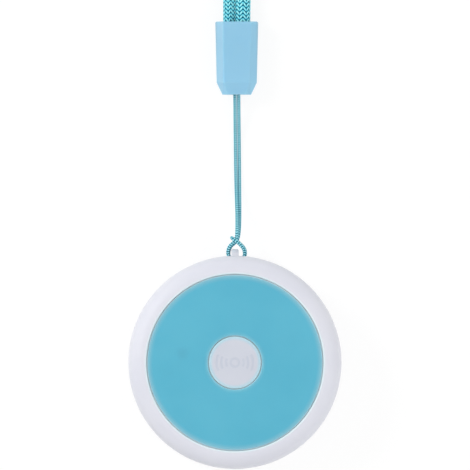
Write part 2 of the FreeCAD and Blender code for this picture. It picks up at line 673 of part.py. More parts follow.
def main_board():
    board = disc(BOARD_RADIUS, BOARD_LOW, BOARD_TOP)
    board = board.cut(rounded(2 * CASE_RADIUS, CASE_RADIUS, 0, BOARD_LOW - 1, BOARD_TOP + 1, 0,
                              BULGE_Y - BOARD_FLAT_GAP + CASE_RADIUS / 2))
    for angle in SCREW_ANGLES:
        x, y = around(SCREW_CIRCLE, angle)
        board = board.cut(disc(SCREW_RADIUS + SCREW_GAP, BOARD_LOW - 1, BOARD_TOP + 1, x, y))
    return board


def positioning_antenna():
    """Ceramic patch: a square tile with bevelled upright corners and a raised metal square on its top."""
    tile_top = BOARD_TOP + PATCH_HEIGHT - SLIP / 2
    tile = rounded(PATCH_SIDE, PATCH_SIDE, 0, BOARD_TOP, tile_top, 0, PATCH_Y)
    tile = tile.makeChamfer(PATCH_CORNER, [edge for edge in tile.Edges if upright(edge)])
    return tile.fuse(rounded(PATCH_METAL, PATCH_METAL, PATCH_METAL_CORNER, tile_top - SLIP,
                             BOARD_TOP + PATCH_HEIGHT, 0, PATCH_Y))


def shield_can(size, centre):
    """Soldered can on a slightly wider carrier."""
    width, length, height = size
    top = BOARD_TOP + height
    carrier = rounded(width, length, CAN_CORNER, BOARD_TOP, BOARD_TOP + CAN_STEP, *centre)
    can = rounded(width - 2 * CAN_STEP, length - 2 * CAN_STEP, 2 * CAN_CORNER, BOARD_TOP + CAN_STEP / 2, top,
                  *centre)
    return carrier.fuse(can.makeChamfer(CAN_STEP / 2, top_edges(can, top)))


def chip(size, centre):
    return rounded(size[0], size[1], CHIP_CORNER, BOARD_TOP, BOARD_TOP + size[2], *centre)


def sim_holder():
    """Folded sheet holder: floor, two side walls and inturned top strips, open at both ends and on top."""
    width, length, height = HOLDER_SIZE
    top = BOARD_TOP + height
    body = rounded(width, length, 0, BOARD_TOP, top, *HOLDER_CENTRE)
    body = body.cut(rounded(width - 2 * HOLDER_SHEET, length + 2, 0, BOARD_TOP + HOLDER_SHEET,
                            top - HOLDER_SHEET, *HOLDER_CENTRE))
    window = rounded(*HOLDER_WINDOW, 0, top - HOLDER_SHEET - SLIP, top + 1, *HOLDER_CENTRE)
    return body.cut(window)


def sim_card():
    low = BOARD_TOP + HOLDER_SHEET
    card = rounded(CARD_SIZE[0], CARD_SIZE[1], 0, low, low + CARD_SIZE[2], *HOLDER_CENTRE)
    corner = [edge for edge in card.Edges if upright(edge)
              and edge.Vertexes[0].X > HOLDER_CENTRE[0] and edge.Vertexes[0].Y > HOLDER_CENTRE[1]]
    return card.makeChamfer(CARD_CORNER, corner)


def motor_base():
    base = disc(MOTOR_RADIUS - MOTOR_SHEET - RUN_GAP, BOARD_TOP, BOARD_TOP + MOTOR_BASE, *MOTOR_CENTRE)
    return base.fuse(disc(MOTOR_SHAFT, BOARD_TOP, BOARD_TOP + MOTOR_HEIGHT - MOTOR_SHEET, *MOTOR_CENTRE))


def motor_can():
    top = BOARD_TOP + MOTOR_HEIGHT
    can = disc(MOTOR_RADIUS, BOARD_TOP, top, *MOTOR_CENTRE)
    can = can.makeChamfer(MOTOR_SHEET, top_edges(can, top))
    return can.cut(disc(MOTOR_RADIUS - MOTOR_SHEET, BOARD_TOP - 1, top - MOTOR_SHEET, *MOTOR_CENTRE))


def motor_rotor():
    """Half-round weight on a hub that turns on the shaft."""
    low = BOARD_TOP + MOTOR_BASE + RUN_GAP
    top = low + ROTOR_HEIGHT
    weight = disc(ROTOR_RADIUS, low, top, *MOTOR_CENTRE)
    weight = weight.cut(rounded(2 * ROTOR_RADIUS, ROTOR_RADIUS, 0, low - 1, top + 1, MOTOR_CENTRE[0],
                                MOTOR_CENTRE[1] + ROTOR_RADIUS / 2))
    rotor = weight.fuse(disc(ROTOR_HUB, low, top, *MOTOR_CENTRE))
    return rotor.cut(disc(MOTOR_SHAFT + RUN_GAP, low - 1, top + 1, *MOTOR_CENTRE)).removeSplitter()


def status_lamp():
    return chip(LAMP_SIZE, LAMP_CENTRE)


def light_guide():
    return disc(GUIDE_RADIUS, BOARD_TOP + LAMP_SIZE[2] + SLIP, DECK_TOP, *LAMP_CENTRE)


def microphone():
    body = rounded(MIC_SIZE[0], MIC_SIZE[1], CHIP_CORNER, BOARD_LOW - MIC_SIZE[2], BOARD_LOW, *MIC_CENTRE)
    return body.cut(disc(MIC_HOLE / 2, BOARD_LOW - MIC_SIZE[2] - 1, BOARD_LOW - MIC_SIZE[2] / 2, *MIC_CENTRE))


def microphone_boot():
    return ring(MIC_HOLE + BOOT_WALL, MIC_HOLE, FLOOR, BOARD_LOW - MIC_SIZE[2], *MIC_CENTRE)


# Battery

def battery_cell():
    """Pouch cell: soft-edged body and a lower folded end where the protection strip lies."""
    body_length = BATTERY_LENGTH - BATTERY_FOLD
    cell = rounded(BATTERY_WIDTH, body_length, BATTERY_ROUND, PAD_TOP, BATTERY_TOP, 0, BATTERY_FOLD / 2)
    cell = cell.makeChamfer(BATTERY_BEVEL, top_edges(cell, BATTERY_TOP))
    fold = rounded(BATTERY_WIDTH - 2 * BATTERY_ROUND, 2 * BATTERY_FOLD, BATTERY_FOLD_CORNER, PAD_TOP,
                   BATTERY_TOP - BATTERY_FOLD_DROP, 0, BATTERY_FOLD - BATTERY_LENGTH / 2)
    return cell.fuse(fold).removeSplitter()


def battery_pad():
    margin = 2 * PAD_MARGIN
    return rounded(BATTERY_WIDTH - margin, BATTERY_LENGTH - margin, BATTERY_ROUND, FLOOR, PAD_TOP)


def plug_x():
    """Face of the plug that the lead enters."""
    return SOCKET_CENTRE[0] - SOCKET_SIZE[0] / 2 - PLUG_LENGTH


def battery_lead():
    """Two insulated wires from the cell's folded end, round one bend, into the plug."""
    wires = []
    plug_z = BOARD_LOW - SOCKET_SIZE[2] / 2
    cell_end = -BATTERY_LENGTH / 2
    start_z = BATTERY_TOP - BATTERY_FOLD_DROP - LEAD_BELOW_FOLD
    for side in (-1, 1):
        shift = side * LEAD_SPACING / 2
        start_x = plug_x() - LEAD_REACH + shift
        points = (
            (start_x, cell_end, start_z),
            (start_x, cell_end - LEAD_OUT, start_z),
            (start_x + LEAD_ASIDE, SOCKET_CENTRE[1] + shift, plug_z),
            (plug_x(), SOCKET_CENTRE[1] + shift, plug_z),
        )
        wires.append(cord("battery lead", points, 2 * LEAD_RADIUS))
    return Part.Compound(wires)


def battery_plug():
    """Plug half inside the socket's throat, half out of it."""
    height = SOCKET_SIZE[2] * PLUG_SHARE
    low = BOARD_LOW - SOCKET_SIZE[2] / 2 - height / 2
    end = SOCKET_CENTRE[0]
    return rounded(end - plug_x(), SOCKET_SIZE[1] * PLUG_SHARE, PLUG_CORNER, low, low + height,
                   (end + plug_x()) / 2, SOCKET_CENTRE[1])


def battery_socket():
    width, length, height = SOCKET_SIZE
    low = BOARD_LOW - height
    socket = rounded(width, length, PLUG_CORNER, low, BOARD_LOW, *SOCKET_CENTRE)
    throat_height = height * PLUG_SHARE + 2 * RUN_GAP
    throat_length = length * PLUG_SHARE + 2 * RUN_GAP
    low = BOARD_LOW - height / 2 - throat_height / 2
    return socket.cut(rounded(width, throat_length, 0, low, low + throat_height,
                              SOCKET_CENTRE[0] - width / 2 + RUN_GAP, SOCKET_CENTRE[1]))


# Sound, charging and radio parts

def loudspeaker():
    """Box speaker with a round sound cone sunk in its underside and two contact posts up to the board."""
    low = FLOOR + SPEAKER_GASKET
    body = rounded(SPEAKER_WIDTH, SPEAKER_LENGTH, SPEAKER_ROUND, low, low + SPEAKER_HEIGHT, SPEAKER_CENTRE_X, 0)
    body = body.cut(Part.makeCone(*SPEAKER_CONE, Vector(SPEAKER_CENTRE_X, 0, low)))
    for side in (-1, 1):
        body = body.fuse(disc(SPEAKER_POST, low + SPEAKER_HEIGHT / 2, BOARD_LOW, SPEAKER_CENTRE_X,
                              side * SPEAKER_POST_Y))
    return body


def speaker_gasket():
    def plate(inset, low, top):
        return rounded(SPEAKER_WIDTH - 2 * inset, SPEAKER_LENGTH - 2 * inset, SPEAKER_ROUND - inset, low, top,
                       SPEAKER_CENTRE_X, 0)
    return plate(SLIP, FLOOR, FLOOR + SPEAKER_GASKET).cut(plate(SPEAKER_GASKET_WIDTH, FLOOR - 1, FLOOR + 1))


def pin_places():
    return [(PIN_X, (index - (PIN_COUNT - 1) / 2) * PIN_PITCH) for index in range(PIN_COUNT)]


def charge_pins():
    """Stepped pins: contact face near the rear face, flange on the floor, stem up to the board."""
    face = CONTACT_RECESS[2] - PIN_SUNK
    flange = PIN_RADIUS + PIN_FLANGE / 2
    pins = []
    for x, y in pin_places():
        pin = disc(PIN_RADIUS, face, FLOOR + PIN_FLANGE_HEIGHT / 2, x, y)
        pin = pin.makeChamfer(PIN_SUNK, top_edges(pin, face))
        pin = pin.fuse(disc(flange, FLOOR, FLOOR + PIN_FLANGE_HEIGHT, x, y))
        pins.append(pin.fuse(disc(PIN_STEM, FLOOR, BOARD_LOW, x, y)).removeSplitter())
    return Part.Compound(pins)


def charge_magnets():
    return Part.Compound([disc(MAGNET_RADIUS, FLOOR, FLOOR + MAGNET_HEIGHT, PIN_X, side * MAGNET_Y)
                          for side in (-1, 1)])


def cellular_antenna():
    """Thin strip stuck to the inside of the wall, round the lower part of the case."""
    top = FLEX_LOW + FLEX_HEIGHT
    strip = ring(INNER_RADIUS, INNER_RADIUS - FLEX_THICK, FLEX_LOW, top)
    span = FLEX_ARC[1] - FLEX_ARC[0]
    sector = Part.makeCylinder(2 * CASE_RADIUS, FLEX_HEIGHT, Vector(0, 0, FLEX_LOW), Vector(0, 0, 1), span)
    sector.rotate(Vector(0, 0, 0), Vector(0, 0, 1), FLEX_ARC[0])
    return strip.common(sector)


def antenna_spring():
    """Bent spring on the board's underside that presses on the strip antenna."""
    reach = INNER_RADIUS - FLEX_THICK - RUN_GAP
    seat = BOARD_RADIUS - SPRING_SEAT
    edge = BOARD_RADIUS - SPRING_EDGE
    low = BOARD_LOW - SPRING_SHEET
    drop = BOARD_LOW - SPRING_DROP
    end = drop - SPRING_FACE
    points = (
        (0, -seat, BOARD_LOW), (0, -seat, low), (0, -reach + 2 * SPRING_SHEET, drop),
        (0, -reach + SPRING_SHEET, end), (0, -reach, end), (0, -reach, drop),
        (0, -edge, low), (0, -edge, BOARD_LOW))
    spring = extruded(points, (SPRING_WIDTH, 0, 0))
    spring.translate(Vector(-SPRING_WIDTH / 2, 0, 0))
    return spring


# Lanyard

def octagon(y, width, thick, bevel):
    """Corners of a section of the ferrule: a rectangle with bevelled corners, across the lanyard at y."""
    half = width / 2
    rise = thick / 2
    corners = ((half - bevel, -rise), (half, bevel - rise), (half, rise - bevel), (half - bevel, rise),
               (bevel - half, rise), (-half, rise - bevel), (-half, bevel - rise), (bevel - half, -rise))
    return [Vector(LANYARD_X + x, y, FERRULE_Z + z) for x, z in corners]


def faceted(rings):
    """Solid with flat ends and flat faces between rings of corners, each ring with as many corners."""
    faces = [Part.Face(Part.makePolygon(ring + ring[:1])) for ring in (rings[0], rings[-1])]
    for low, high in zip(rings, rings[1:]):
        for corner in range(len(low)):
            after = (corner + 1) % len(low)
            outline = [low[corner], low[after], high[after], high[corner], low[corner]]
            faces.append(Part.Face(Part.makePolygon(outline)))
    return Part.Solid(Part.Shell(faces))


def pair_bore(diameter, spacing, gap, low, top):
    """Bore for two cords side by side, along the lanyard."""
    radius = diameter / 2 + gap
    left = Vector(LANYARD_X - spacing / 2, low, FERRULE_Z)
    right = Vector(LANYARD_X + spacing / 2, low, FERRULE_Z)
    bore = Part.makeCylinder(radius, top - low, left, Vector(0, 1, 0))
    bore = bore.fuse(Part.makeCylinder(radius, top - low, right, Vector(0, 1, 0)))
    middle = Part.makeBox(spacing, top - low, 2 * radius, left - Vector(0, 0, radius))
    return bore.fuse(middle).removeSplitter()


def cord_ferrule():
    """Tapered eight-sided sleeve with softened edges and a slanted nose, wide bore above, small one below."""
    nose_y = FERRULE_LOW_Y + FERRULE_NOSE_LENGTH
    bevel_y = FERRULE_TOP_Y - FERRULE_TOP_BEVEL
    body = faceted([
        octagon(FERRULE_LOW_Y, FERRULE_NOSE_WIDTH, FERRULE_NOSE_THICK, FERRULE_NOSE_BEVEL),
        octagon(nose_y, FERRULE_LOW_WIDTH, FERRULE_THICK, FERRULE_BEVEL),
        octagon(bevel_y, FERRULE_TOP_WIDTH, FERRULE_THICK, FERRULE_BEVEL),
        octagon(FERRULE_TOP_Y, FERRULE_TOP_WIDTH - 2 * FERRULE_TOP_BEVEL, FERRULE_THICK - 2 * FERRULE_TOP_BEVEL,
                FERRULE_BEVEL - FERRULE_TOP_BEVEL / 2),
    ])
    long_edges = [edge for edge in body.Edges if edge.BoundBox.YLength > 2 * FERRULE_NOSE_LENGTH]
    body = body.makeFillet(FERRULE_EDGE, long_edges)
    socket = pair_bore(NECK_DIAMETER, NECK_SPACING, NECK_GAP, CRIMP_LOW_Y, FERRULE_TOP_Y + 1)
    small = pair_bore(HITCH_DIAMETER, HITCH_SPACING, HITCH_GAP, FERRULE_LOW_Y - 1, CRIMP_LOW_Y + 1)
    return body.cut(socket).cut(small)


def cord_crimp():
    """Folded metal band round the four cord ends, closed by pressing."""
    band = pair_bore(NECK_DIAMETER, NECK_SPACING, 0.0, CRIMP_LOW_Y, CRIMP_TOP_Y)
    ends = [edge for edge in band.Edges
            if abs(edge.BoundBox.YMax - edge.BoundBox.YMin) < 1e-6 and edge.Length > NECK_SPACING / 2]
    return band.makeChamfer(CRIMP_BEVEL, ends)


def neck_cord_coil():
    """Outer shape of the flat round coil that the neck cord is put away in."""
    bevel = COIL_BEVEL
    coil = turned((COIL_OUTER - bevel, 0), (COIL_OUTER, bevel), (COIL_OUTER, COIL_HEIGHT - bevel),
                  (COIL_OUTER - bevel, COIL_HEIGHT), (COIL_INNER + bevel, COIL_HEIGHT),
                  (COIL_INNER, COIL_HEIGHT - bevel), (COIL_INNER, bevel), (COIL_INNER + bevel, 0))
    coil.translate(Vector(COIL_X, COIL_Y, 0))
    return coil


PARTS = {
    "rear_shell": rear_shell,
    "front_shell": front_shell,
    "face_plate": face_plate,
    "plate_film": plate_film,
    "shell_gasket": shell_gasket,
    "case_screws": case_screws,
    "call_button": call_button,
    "button_seal": button_seal,
    "seal_retainer": seal_retainer,
    "switch_body": switch_body,
    "switch_plunger": switch_plunger,
    "main_board": main_board,
    "positioning_antenna": positioning_antenna,
    "positioning_receiver": lambda: shield_can(RECEIVER_SIZE, RECEIVER_CENTRE),
    "cellular_module": lambda: shield_can(MODULE_SIZE, MODULE_CENTRE),
    "controller_chip": lambda: chip(CONTROLLER_SIZE, CONTROLLER_CENTRE),
    "motion_sensor": lambda: chip(SENSOR_SIZE, SENSOR_CENTRE),
    "sim_holder": sim_holder,
    "sim_card": sim_card,
    "motor_base": motor_base,
    "motor_can": motor_can,
    "motor_rotor": motor_rotor,
    "status_lamp": status_lamp,
    "light_guide": light_guide,
    "microphone": microphone,
    "microphone_boot": microphone_boot,
    "battery_cell": battery_cell,
    "battery_pad": battery_pad,
    "battery_lead": battery_lead,
    "battery_plug": battery_plug,
    "battery_socket": battery_socket,
    "loudspeaker": loudspeaker,
    "speaker_gasket": speaker_gasket,
    "charge_pins": charge_pins,
    "charge_magnets": charge_magnets,
    "cellular_antenna": cellular_antenna,
    "antenna_spring": antenna_spring,
    "cord_ferrule": cord_ferrule,
    "cord_crimp": cord_crimp,
    "hitch_cord": lambda: cord("hitch cord", HITCH_ROUTE, HITCH_DIAMETER),
    "neck_cord_left": lambda: cord("neck cord left", LEFT_ROUTE, NECK_DIAMETER),
    "neck_cord_right": lambda: cord("neck cord right", RIGHT_ROUTE, NECK_DIAMETER),
    "neck_cord_coil": neck_cord_coil,
}

os.makedirs("parts", exist_ok=True)
for node, make in PARTS.items():
    shape = make()
    state = "valid" if shape.isValid() else "INVALID"
    print(node, state, len(shape.Solids), "solids, volume", round(shape.Volume, 2))
    shape.exportStep("parts/" + node + ".step")
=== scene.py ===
import bpy
import math
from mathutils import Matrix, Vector


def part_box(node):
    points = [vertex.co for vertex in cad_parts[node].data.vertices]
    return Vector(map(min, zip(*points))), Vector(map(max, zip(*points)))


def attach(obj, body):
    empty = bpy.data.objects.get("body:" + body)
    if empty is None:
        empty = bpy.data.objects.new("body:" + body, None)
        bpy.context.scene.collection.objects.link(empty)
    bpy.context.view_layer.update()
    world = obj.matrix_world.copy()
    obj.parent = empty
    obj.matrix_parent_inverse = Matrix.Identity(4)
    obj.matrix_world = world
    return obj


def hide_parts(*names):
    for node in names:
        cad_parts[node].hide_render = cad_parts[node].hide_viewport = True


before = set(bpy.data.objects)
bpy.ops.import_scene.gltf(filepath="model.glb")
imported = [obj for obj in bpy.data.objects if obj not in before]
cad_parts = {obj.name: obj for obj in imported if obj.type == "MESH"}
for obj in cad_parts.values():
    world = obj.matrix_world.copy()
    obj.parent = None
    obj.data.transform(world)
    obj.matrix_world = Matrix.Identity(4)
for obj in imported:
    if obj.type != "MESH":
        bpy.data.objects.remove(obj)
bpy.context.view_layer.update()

# A round tracker pendant on its lanyard, seen face on. Lengths are in metres, or in millimetres where a
# comment says so.
MM = 0.001

# View and light
VIEW_CENTRE = (0.02 * MM, 27.49 * MM)
VIEW_WIDTH = 101.4 * MM
VIEW_DISTANCE = 2.5
RIM_HEIGHT = 10.4 * MM
LAMP_AIM = (0.0, 0.02, 0.0)
KEY_PLACE = (-0.42, 0.26, 0.36)
FILL_PLACE = (0.52, -0.20, 0.42)
ROOM_LIGHT = 0.66
FLOOR_WHITE = 1.04
FLOOR_GLOW = 0.82

# Case, button and ferrule, in millimetres
CASE_RADIUS = 23.0
PARTING = 9.6
PLATE_RADIUS = 19.0
BUTTON_RADIUS = 5.68
BUTTON_TOP = 13.75
LANYARD_X = 0.4
FERRULE_HALF = 4.65
FERRULE_BEVEL = 1.5
FERRULE_Z = 3.1
CRIMP_Y = (61.8, 65.8)

# Sizes and places that the finishes need, in millimetres
SIGN_RING = 0.9
SIGN_ARCS = (1.9, 2.9, 3.9)
SIGN_LINE = 0.19
SIGN_SPREAD = 0.5
GUIDE_PLACE = (-11.3, 2.0)
MOTOR_PLACE = (-13.2, -3.0)
MIC_PLACE = (-4.0, 16.3)
MAGNET_PLACE = (14.6, 8.2)
SCREW_PLACE = 12.87
SWITCH_LID = 0.3
SWITCH_PEG = 1.75
TRACK_PITCH = 0.5
ELECTRODE = 7.6
LEG_PITCH = 0.5
SPEAKER_MOUTH = 2.9
SPEAKER_RINGS = 0.5
WIRE_SPLIT = (-5.15, -16.41)
FIELD_HALF = (3.3, 4.5)
FIELD_PITCH = (3.3, 3.0)
STRIP_PITCH = 4.4

# Routes of the cords, in metres. The points are those of the part's own source, but for the first two of each
# neck run: pressed to ovals, the runs lie closer together there.
HITCH_ROUTE = [Vector(point) * MM for point in (
    (-0.01, CRIMP_Y[0], FERRULE_Z), (-0.01, 56.85, FERRULE_Z), (0.09, 48.5, 0.45), (0.22, 38.5, 0.85),
    (0.47, 32.0, 3.03), (0.45, 28.6, 6.92), (0.37, 26.35, 6.92), (-1.54, 24.85, 6.92), (-1.47, 22.35, 6.92),
    (2.05, 22.35, 6.92), (2.14, 24.3, 7.25), (0.85, 25.7, 7.83), (-0.66, 26.82, 7.75), (-0.69, 26.92, 5.27),
    (0.75, 26.0, 5.17), (2.34, 24.4, 5.72), (2.12, 22.35, 6.07), (-1.42, 22.35, 6.07), (-1.30, 24.78, 6.07),
    (0.57, 26.2, 6.07), (0.92, 28.1, 6.07), (1.06, 31.53, 2.6), (1.00, 38.15, 0.42), (0.91, 48.5, 0.42),
    (0.81, 56.85, FERRULE_Z), (0.81, CRIMP_Y[0], FERRULE_Z))]
LEFT_ROUTE = [Vector(point) * MM for point in (
    (-1.21, CRIMP_Y[1], FERRULE_Z), (-1.21, 75.15, FERRULE_Z), (-1.25, 82.3, 1.75), (-5.3, 89.5, 1.52),
    (-15.5, 93.6, 1.52), (-20.6, 101.0, 1.52), (-20.63, 108.0, 1.52))]
RIGHT_ROUTE = [Vector(point) * MM for point in (
    (1.58, CRIMP_Y[1], FERRULE_Z), (1.58, 75.15, FERRULE_Z), (1.81, 82.3, 1.75), (6.1, 89.5, 1.52),
    (17.2, 93.5, 1.52), (22.6, 101.0, 1.52), (22.67, 108.0, 1.52))]

# The put-away turns. The climb onto the lower layer and the way down again are given by the turn where they
# begin and the turns that they take.
COIL_CENTRE = Vector((LANYARD_X, 110.0, 0.0)) * MM
COIL_TURNS = 7.5
COIL_MIDDLE = 3.5
COIL_SMALLEST = 10.5 * MM
COIL_EASE = 0.02
COIL_CLIMB = (2.8, 1.0)
COIL_DESCENT = (7.1, 0.42)
COIL_REST = 0.505
POINTS_PER_TURN = 16

# Cords and their plait: above FINE_UNTIL the neck cord, seen only small, is coarser
NECK_DIAMETER = 3.0 * MM
NECK_PITCH = 0.86 * MM
FINE_UNTIL = 84 * MM
FINE_SPACING = 0.2 * MM
FINE_RELIEF = 0.16 * MM
COARSE_SPACING = 0.44 * MM
COARSE_RELIEF = 0.09 * MM
HITCH_DIAMETER = 0.8 * MM
HITCH_PITCH = 0.5 * MM
HITCH_SPACING = 0.1 * MM
HITCH_RELIEF = 0.08 * MM
STITCH_ROUND = 3.2

# Ovals that the two neck runs are pressed to, as shares of width and height, up to a place in millimetres
LEFT_OVAL = (0.91, 1.04)
RIGHT_OVAL = (1.18, 0.92)
PRESSED_UNTIL = 79.0
PRESSED_FADE = 6.0

# Colours as they show, a main tone and a cloudy one
SHELL_WHITE = (227, 228, 236), (224, 225, 234)
FACE_BLUE = (95, 188, 212), (89, 184, 209)
BUTTON_WHITE = (214, 217, 227), (210, 214, 224)
FERRULE_BLUE = (151, 204, 231), (147, 201, 228)

# Colours of the yarns with painted light and shade: a painted highlight on the stitches' tops, the yarn's own
# tone on their flanks and painted shade in the gaps between them
NECK_YARN_AND_PAINTED_LIGHT = (186, 255, 255), (84, 224, 246), (0, 76, 106)
HITCH_YARN_AND_PAINTED_LIGHT = (196, 248, 255), (96, 206, 226), (8, 70, 96)

# Tones of edges and signs; most of the edge tones are painted light and painted shade at edges and gaps
CASE_EDGE_PAINTED_SHADE = (208, 211, 217)
OPENING_PAINTED_LIGHT = (226, 248, 255)
GUIDE_TONE = (84, 162, 188)
PLATE_EDGE_PAINTED_LIGHT = (203, 212, 213)
PLATE_LIP_PAINTED_LIGHT = (238, 246, 252)
SIGN_TONE = (200, 206, 219)
BUTTON_EDGE = (166, 222, 238)
BUTTON_LIP_PAINTED_LIGHT = (225, 250, 255)
LEFT_BEVEL_PAINTED_LIGHT = (186, 212, 226)
RIGHT_BEVEL_PAINTED_LIGHT = (158, 214, 240)
FERRULE_EDGE_PAINTED_SHADE = (152, 184, 200)

# Share of the light that goes into the moulded parts
MILKY = 0.6


def srgb(red, green, blue):
    """Colour of a surface, from the values that it shows on a screen."""
    def linear(value):
        value = value / 255
        return value / 12.92 if value <= 0.04045 else ((value + 0.055) / 1.055) ** 2.4
    return (linear(red), linear(green), linear(blue), 1.0)


# Camera, floor and light

def set_up_view():
    camera = bpy.data.cameras.new("view")
    camera.sensor_width = 36.0
    camera.lens = camera.sensor_width * VIEW_DISTANCE / VIEW_WIDTH
    camera.clip_start = 0.01
    camera.clip_end = 50.0
    holder = bpy.data.objects.new("view", camera)
    holder.location = (VIEW_CENTRE[0], VIEW_CENTRE[1], RIM_HEIGHT + VIEW_DISTANCE)
    bpy.context.scene.collection.objects.link(holder)
    bpy.context.scene.camera = holder
    bpy.context.scene.view_settings.view_transform = "Standard"


def add_lamp(name, place, aim, size, power):
    light = bpy.data.lights.new(name, "AREA")
    light.shape = "DISK"
    light.size = size
    light.energy = power
    holder = bpy.data.objects.new(name, light)
    holder.location = place
    holder.rotation_euler = (Vector(aim) - Vector(place)).to_track_quat("-Z", "Y").to_euler()
    bpy.context.scene.collection.objects.link(holder)


def add_background(tree, strength):
    background = tree.nodes.new("ShaderNodeBackground")
    background.inputs["Color"].default_value = (1.0, 1.0, 1.0, 1.0)
    background.inputs["Strength"].default_value = strength
    return background


def set_up_light():
    """Two lamps in a white room, which camera and mirrors see brighter than it lights the object."""
    world = bpy.data.worlds.new("studio")
    bpy.context.scene.world = world
    world.use_nodes = True
    tree = world.node_tree
    tree.nodes.clear()
    output = tree.nodes.new("ShaderNodeOutputWorld")
    mix = tree.nodes.new("ShaderNodeMixShader")
    path = tree.nodes.new("ShaderNodeLightPath")
    room = add_background(tree, ROOM_LIGHT)
    white = add_background(tree, 1.0)
    seen = tree.nodes.new("ShaderNodeMath")
    seen.operation = "MAXIMUM"
    bright = tree.nodes.new("ShaderNodeMath")
    bright.operation = "MAXIMUM"
    tree.links.new(path.outputs["Is Camera Ray"], seen.inputs[0])
    tree.links.new(path.outputs["Is Glossy Ray"], seen.inputs[1])
    tree.links.new(seen.outputs[0], bright.inputs[0])
    tree.links.new(path.outputs["Is Transmission Ray"], bright.inputs[1])
    tree.links.new(bright.outputs[0], mix.inputs[0])
    tree.links.new(room.outputs[0], mix.inputs[1])
    tree.links.new(white.outputs[0], mix.inputs[2])
    tree.links.new(mix.outputs[0], output.inputs[0])
    add_lamp("key_lamp", KEY_PLACE, LAMP_AIM, size=0.28, power=1.40)
    add_lamp("fill_lamp", FILL_PLACE, LAMP_AIM, size=0.50, power=1.12)


# Finishes

class Value:
    """Output of a shader node that sums can be written with."""

    def __init__(self, finish, socket):
        self.finish = finish
        self.socket = socket

    def math(self, operation, *others):
        return self.finish.math(operation, self, *others)

    def __add__(self, other):
        return self.math("ADD", other)

    def __radd__(self, other):
        return self.finish.math("ADD", other, self)

    def __sub__(self, other):
        return self.math("SUBTRACT", other)

    def __rsub__(self, other):
        return self.finish.math("SUBTRACT", other, self)

    def __mul__(self, other):
        return self.math("MULTIPLY", other)

    def __truediv__(self, other):
        return self.math("DIVIDE", other)

    def __pow__(self, other):
        return self.math("POWER", other)

    def __neg__(self):
        return self.math("MULTIPLY", -1.0)

    def __abs__(self):
        return self.math("ABSOLUTE")

    def sin(self):
        return self.math("SINE")

    def fraction(self):
        return self.math("FRACT")

    def whole(self):
        return self.math("FLOOR")

    def over(self, edge):
        return self.math("GREATER_THAN", edge)

    def under(self, edge):
        return self.math("LESS_THAN", edge)

    def step(self, low, high):
        """From 0 at low to 1 at high, smoothly."""
        return self.finish.node("ShaderNodeMapRange", {"interpolation_type": "SMOOTHSTEP"},
                                {"Value": self, "From Min": low, "From Max": high})


class Finish:
    """Material of one finish, whose nodes are written as values."""

    def __init__(self, name, **constants):
        self.material = bpy.data.materials.new(name)
        self.material.use_nodes = True
        self.tree = self.material.node_tree
        self.tree.nodes.clear()
        self.surface = self.tree.nodes.new("ShaderNodeBsdfPrincipled")
        self.output = self.tree.nodes.new("ShaderNodeOutputMaterial")
        self.tree.links.new(self.surface.outputs[0], self.output.inputs[0])
        self.colour = None
        self.roughness = 0.5
        self.metal = 0.0
        self.relief = None
        self.set(**constants)

    def put(self, socket, value):
        if isinstance(value, Value):
            self.tree.links.new(value.socket, socket)
        else:
            socket.default_value = value

    def set(self, **values):
        """Sets sockets of the surface: names are written with _ for each space."""
        for name, value in values.items():
            self.put(self.surface.inputs[name.replace("_", " ")], value)

    def node(self, kind, settings=(), sockets=(), output=0):
        """Adds a node with its settings and sockets, and gives one of its outputs."""
        made = self.tree.nodes.new(kind)
        for name, value in dict(settings).items():
            if name == "stops":
                self.fill_ramp(made.color_ramp, value)
            else:
                setattr(made, name, value)
        for name, value in dict(sockets).items():
            self.put(made.inputs[name], value)
        return Value(self, made.outputs[output])

    def fill_ramp(self, ramp, stops):
        while len(ramp.elements) < len(stops):
            ramp.elements.new(0.5)
        for element, (place, colour) in zip(ramp.elements, stops):
            element.position = place
            element.color = colour

    def math(self, operation, *values):
        return self.node("ShaderNodeMath", {"operation": operation}, dict(enumerate(values)))

    def mix(self, share, first, second):
        """Colour between two colours."""
        return self.node("ShaderNodeMix", {"data_type": "RGBA"}, {0: share, 6: first, 7: second}, 2)

    def paint(self, share, colour):
        """Lays a colour over what is there, where share is 1."""
        self.colour = self.mix(share, self.colour, srgb(*colour))

    def close(self):
        """Links what was gathered, the relief being in millimetres, and gives the material."""
        self.set(Base_Color=self.colour, Roughness=self.roughness, Metallic=self.metal)
        if self.relief:
            self.set(Normal=self.node("ShaderNodeBump", sockets={"Height": self.relief, "Distance": MM}))
        return self.material

    def place(self):
        return self.node("ShaderNodeTexCoord", output="Object")

    def split(self, vector):
        """The three numbers of a vector."""
        made = self.tree.nodes.new("ShaderNodeSeparateXYZ")
        self.put(made.inputs[0], vector)
        return [Value(self, socket) for socket in made.outputs]

    def axes(self):
        """The three coordinates in millimetres."""
        return [coordinate / MM for coordinate in self.split(self.place())]

    def radius(self, centre_x, centre_y):
        """Distance in millimetres from an upright axis."""
        x, y, z = self.axes()
        return ((x - centre_x) ** 2 + (y - centre_y) ** 2) ** 0.5

    def stretched(self, *scale):
        """Place for noise that is drawn out along the axes with a small scale."""
        return self.node("ShaderNodeMapping", sockets={"Vector": self.place(), "Scale": scale})

    def noise(self, size, detail=2.0, rough=0.5, where=None):
        """Soft noise from 0 to 1 whose patches are about size millimetres wide."""
        return self.node("ShaderNodeTexNoise", sockets={
            "Vector": where or self.place(), "Scale": 1 / (size * MM), "Detail": detail, "Roughness": rough})

    def cells(self, size):
        """Distance from the middle of round cells about size millimetres wide."""
        return self.node("ShaderNodeTexVoronoi", sockets={"Vector": self.place(), "Scale": 1 / (size * MM)})


def box_of(node):
    """Lowest and highest corner of a part, in millimetres."""
    return [[value / MM for value in corner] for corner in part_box(node)]


def middle_of(low, high):
    return [(first + second) / 2 for first, second in zip(low, high)]


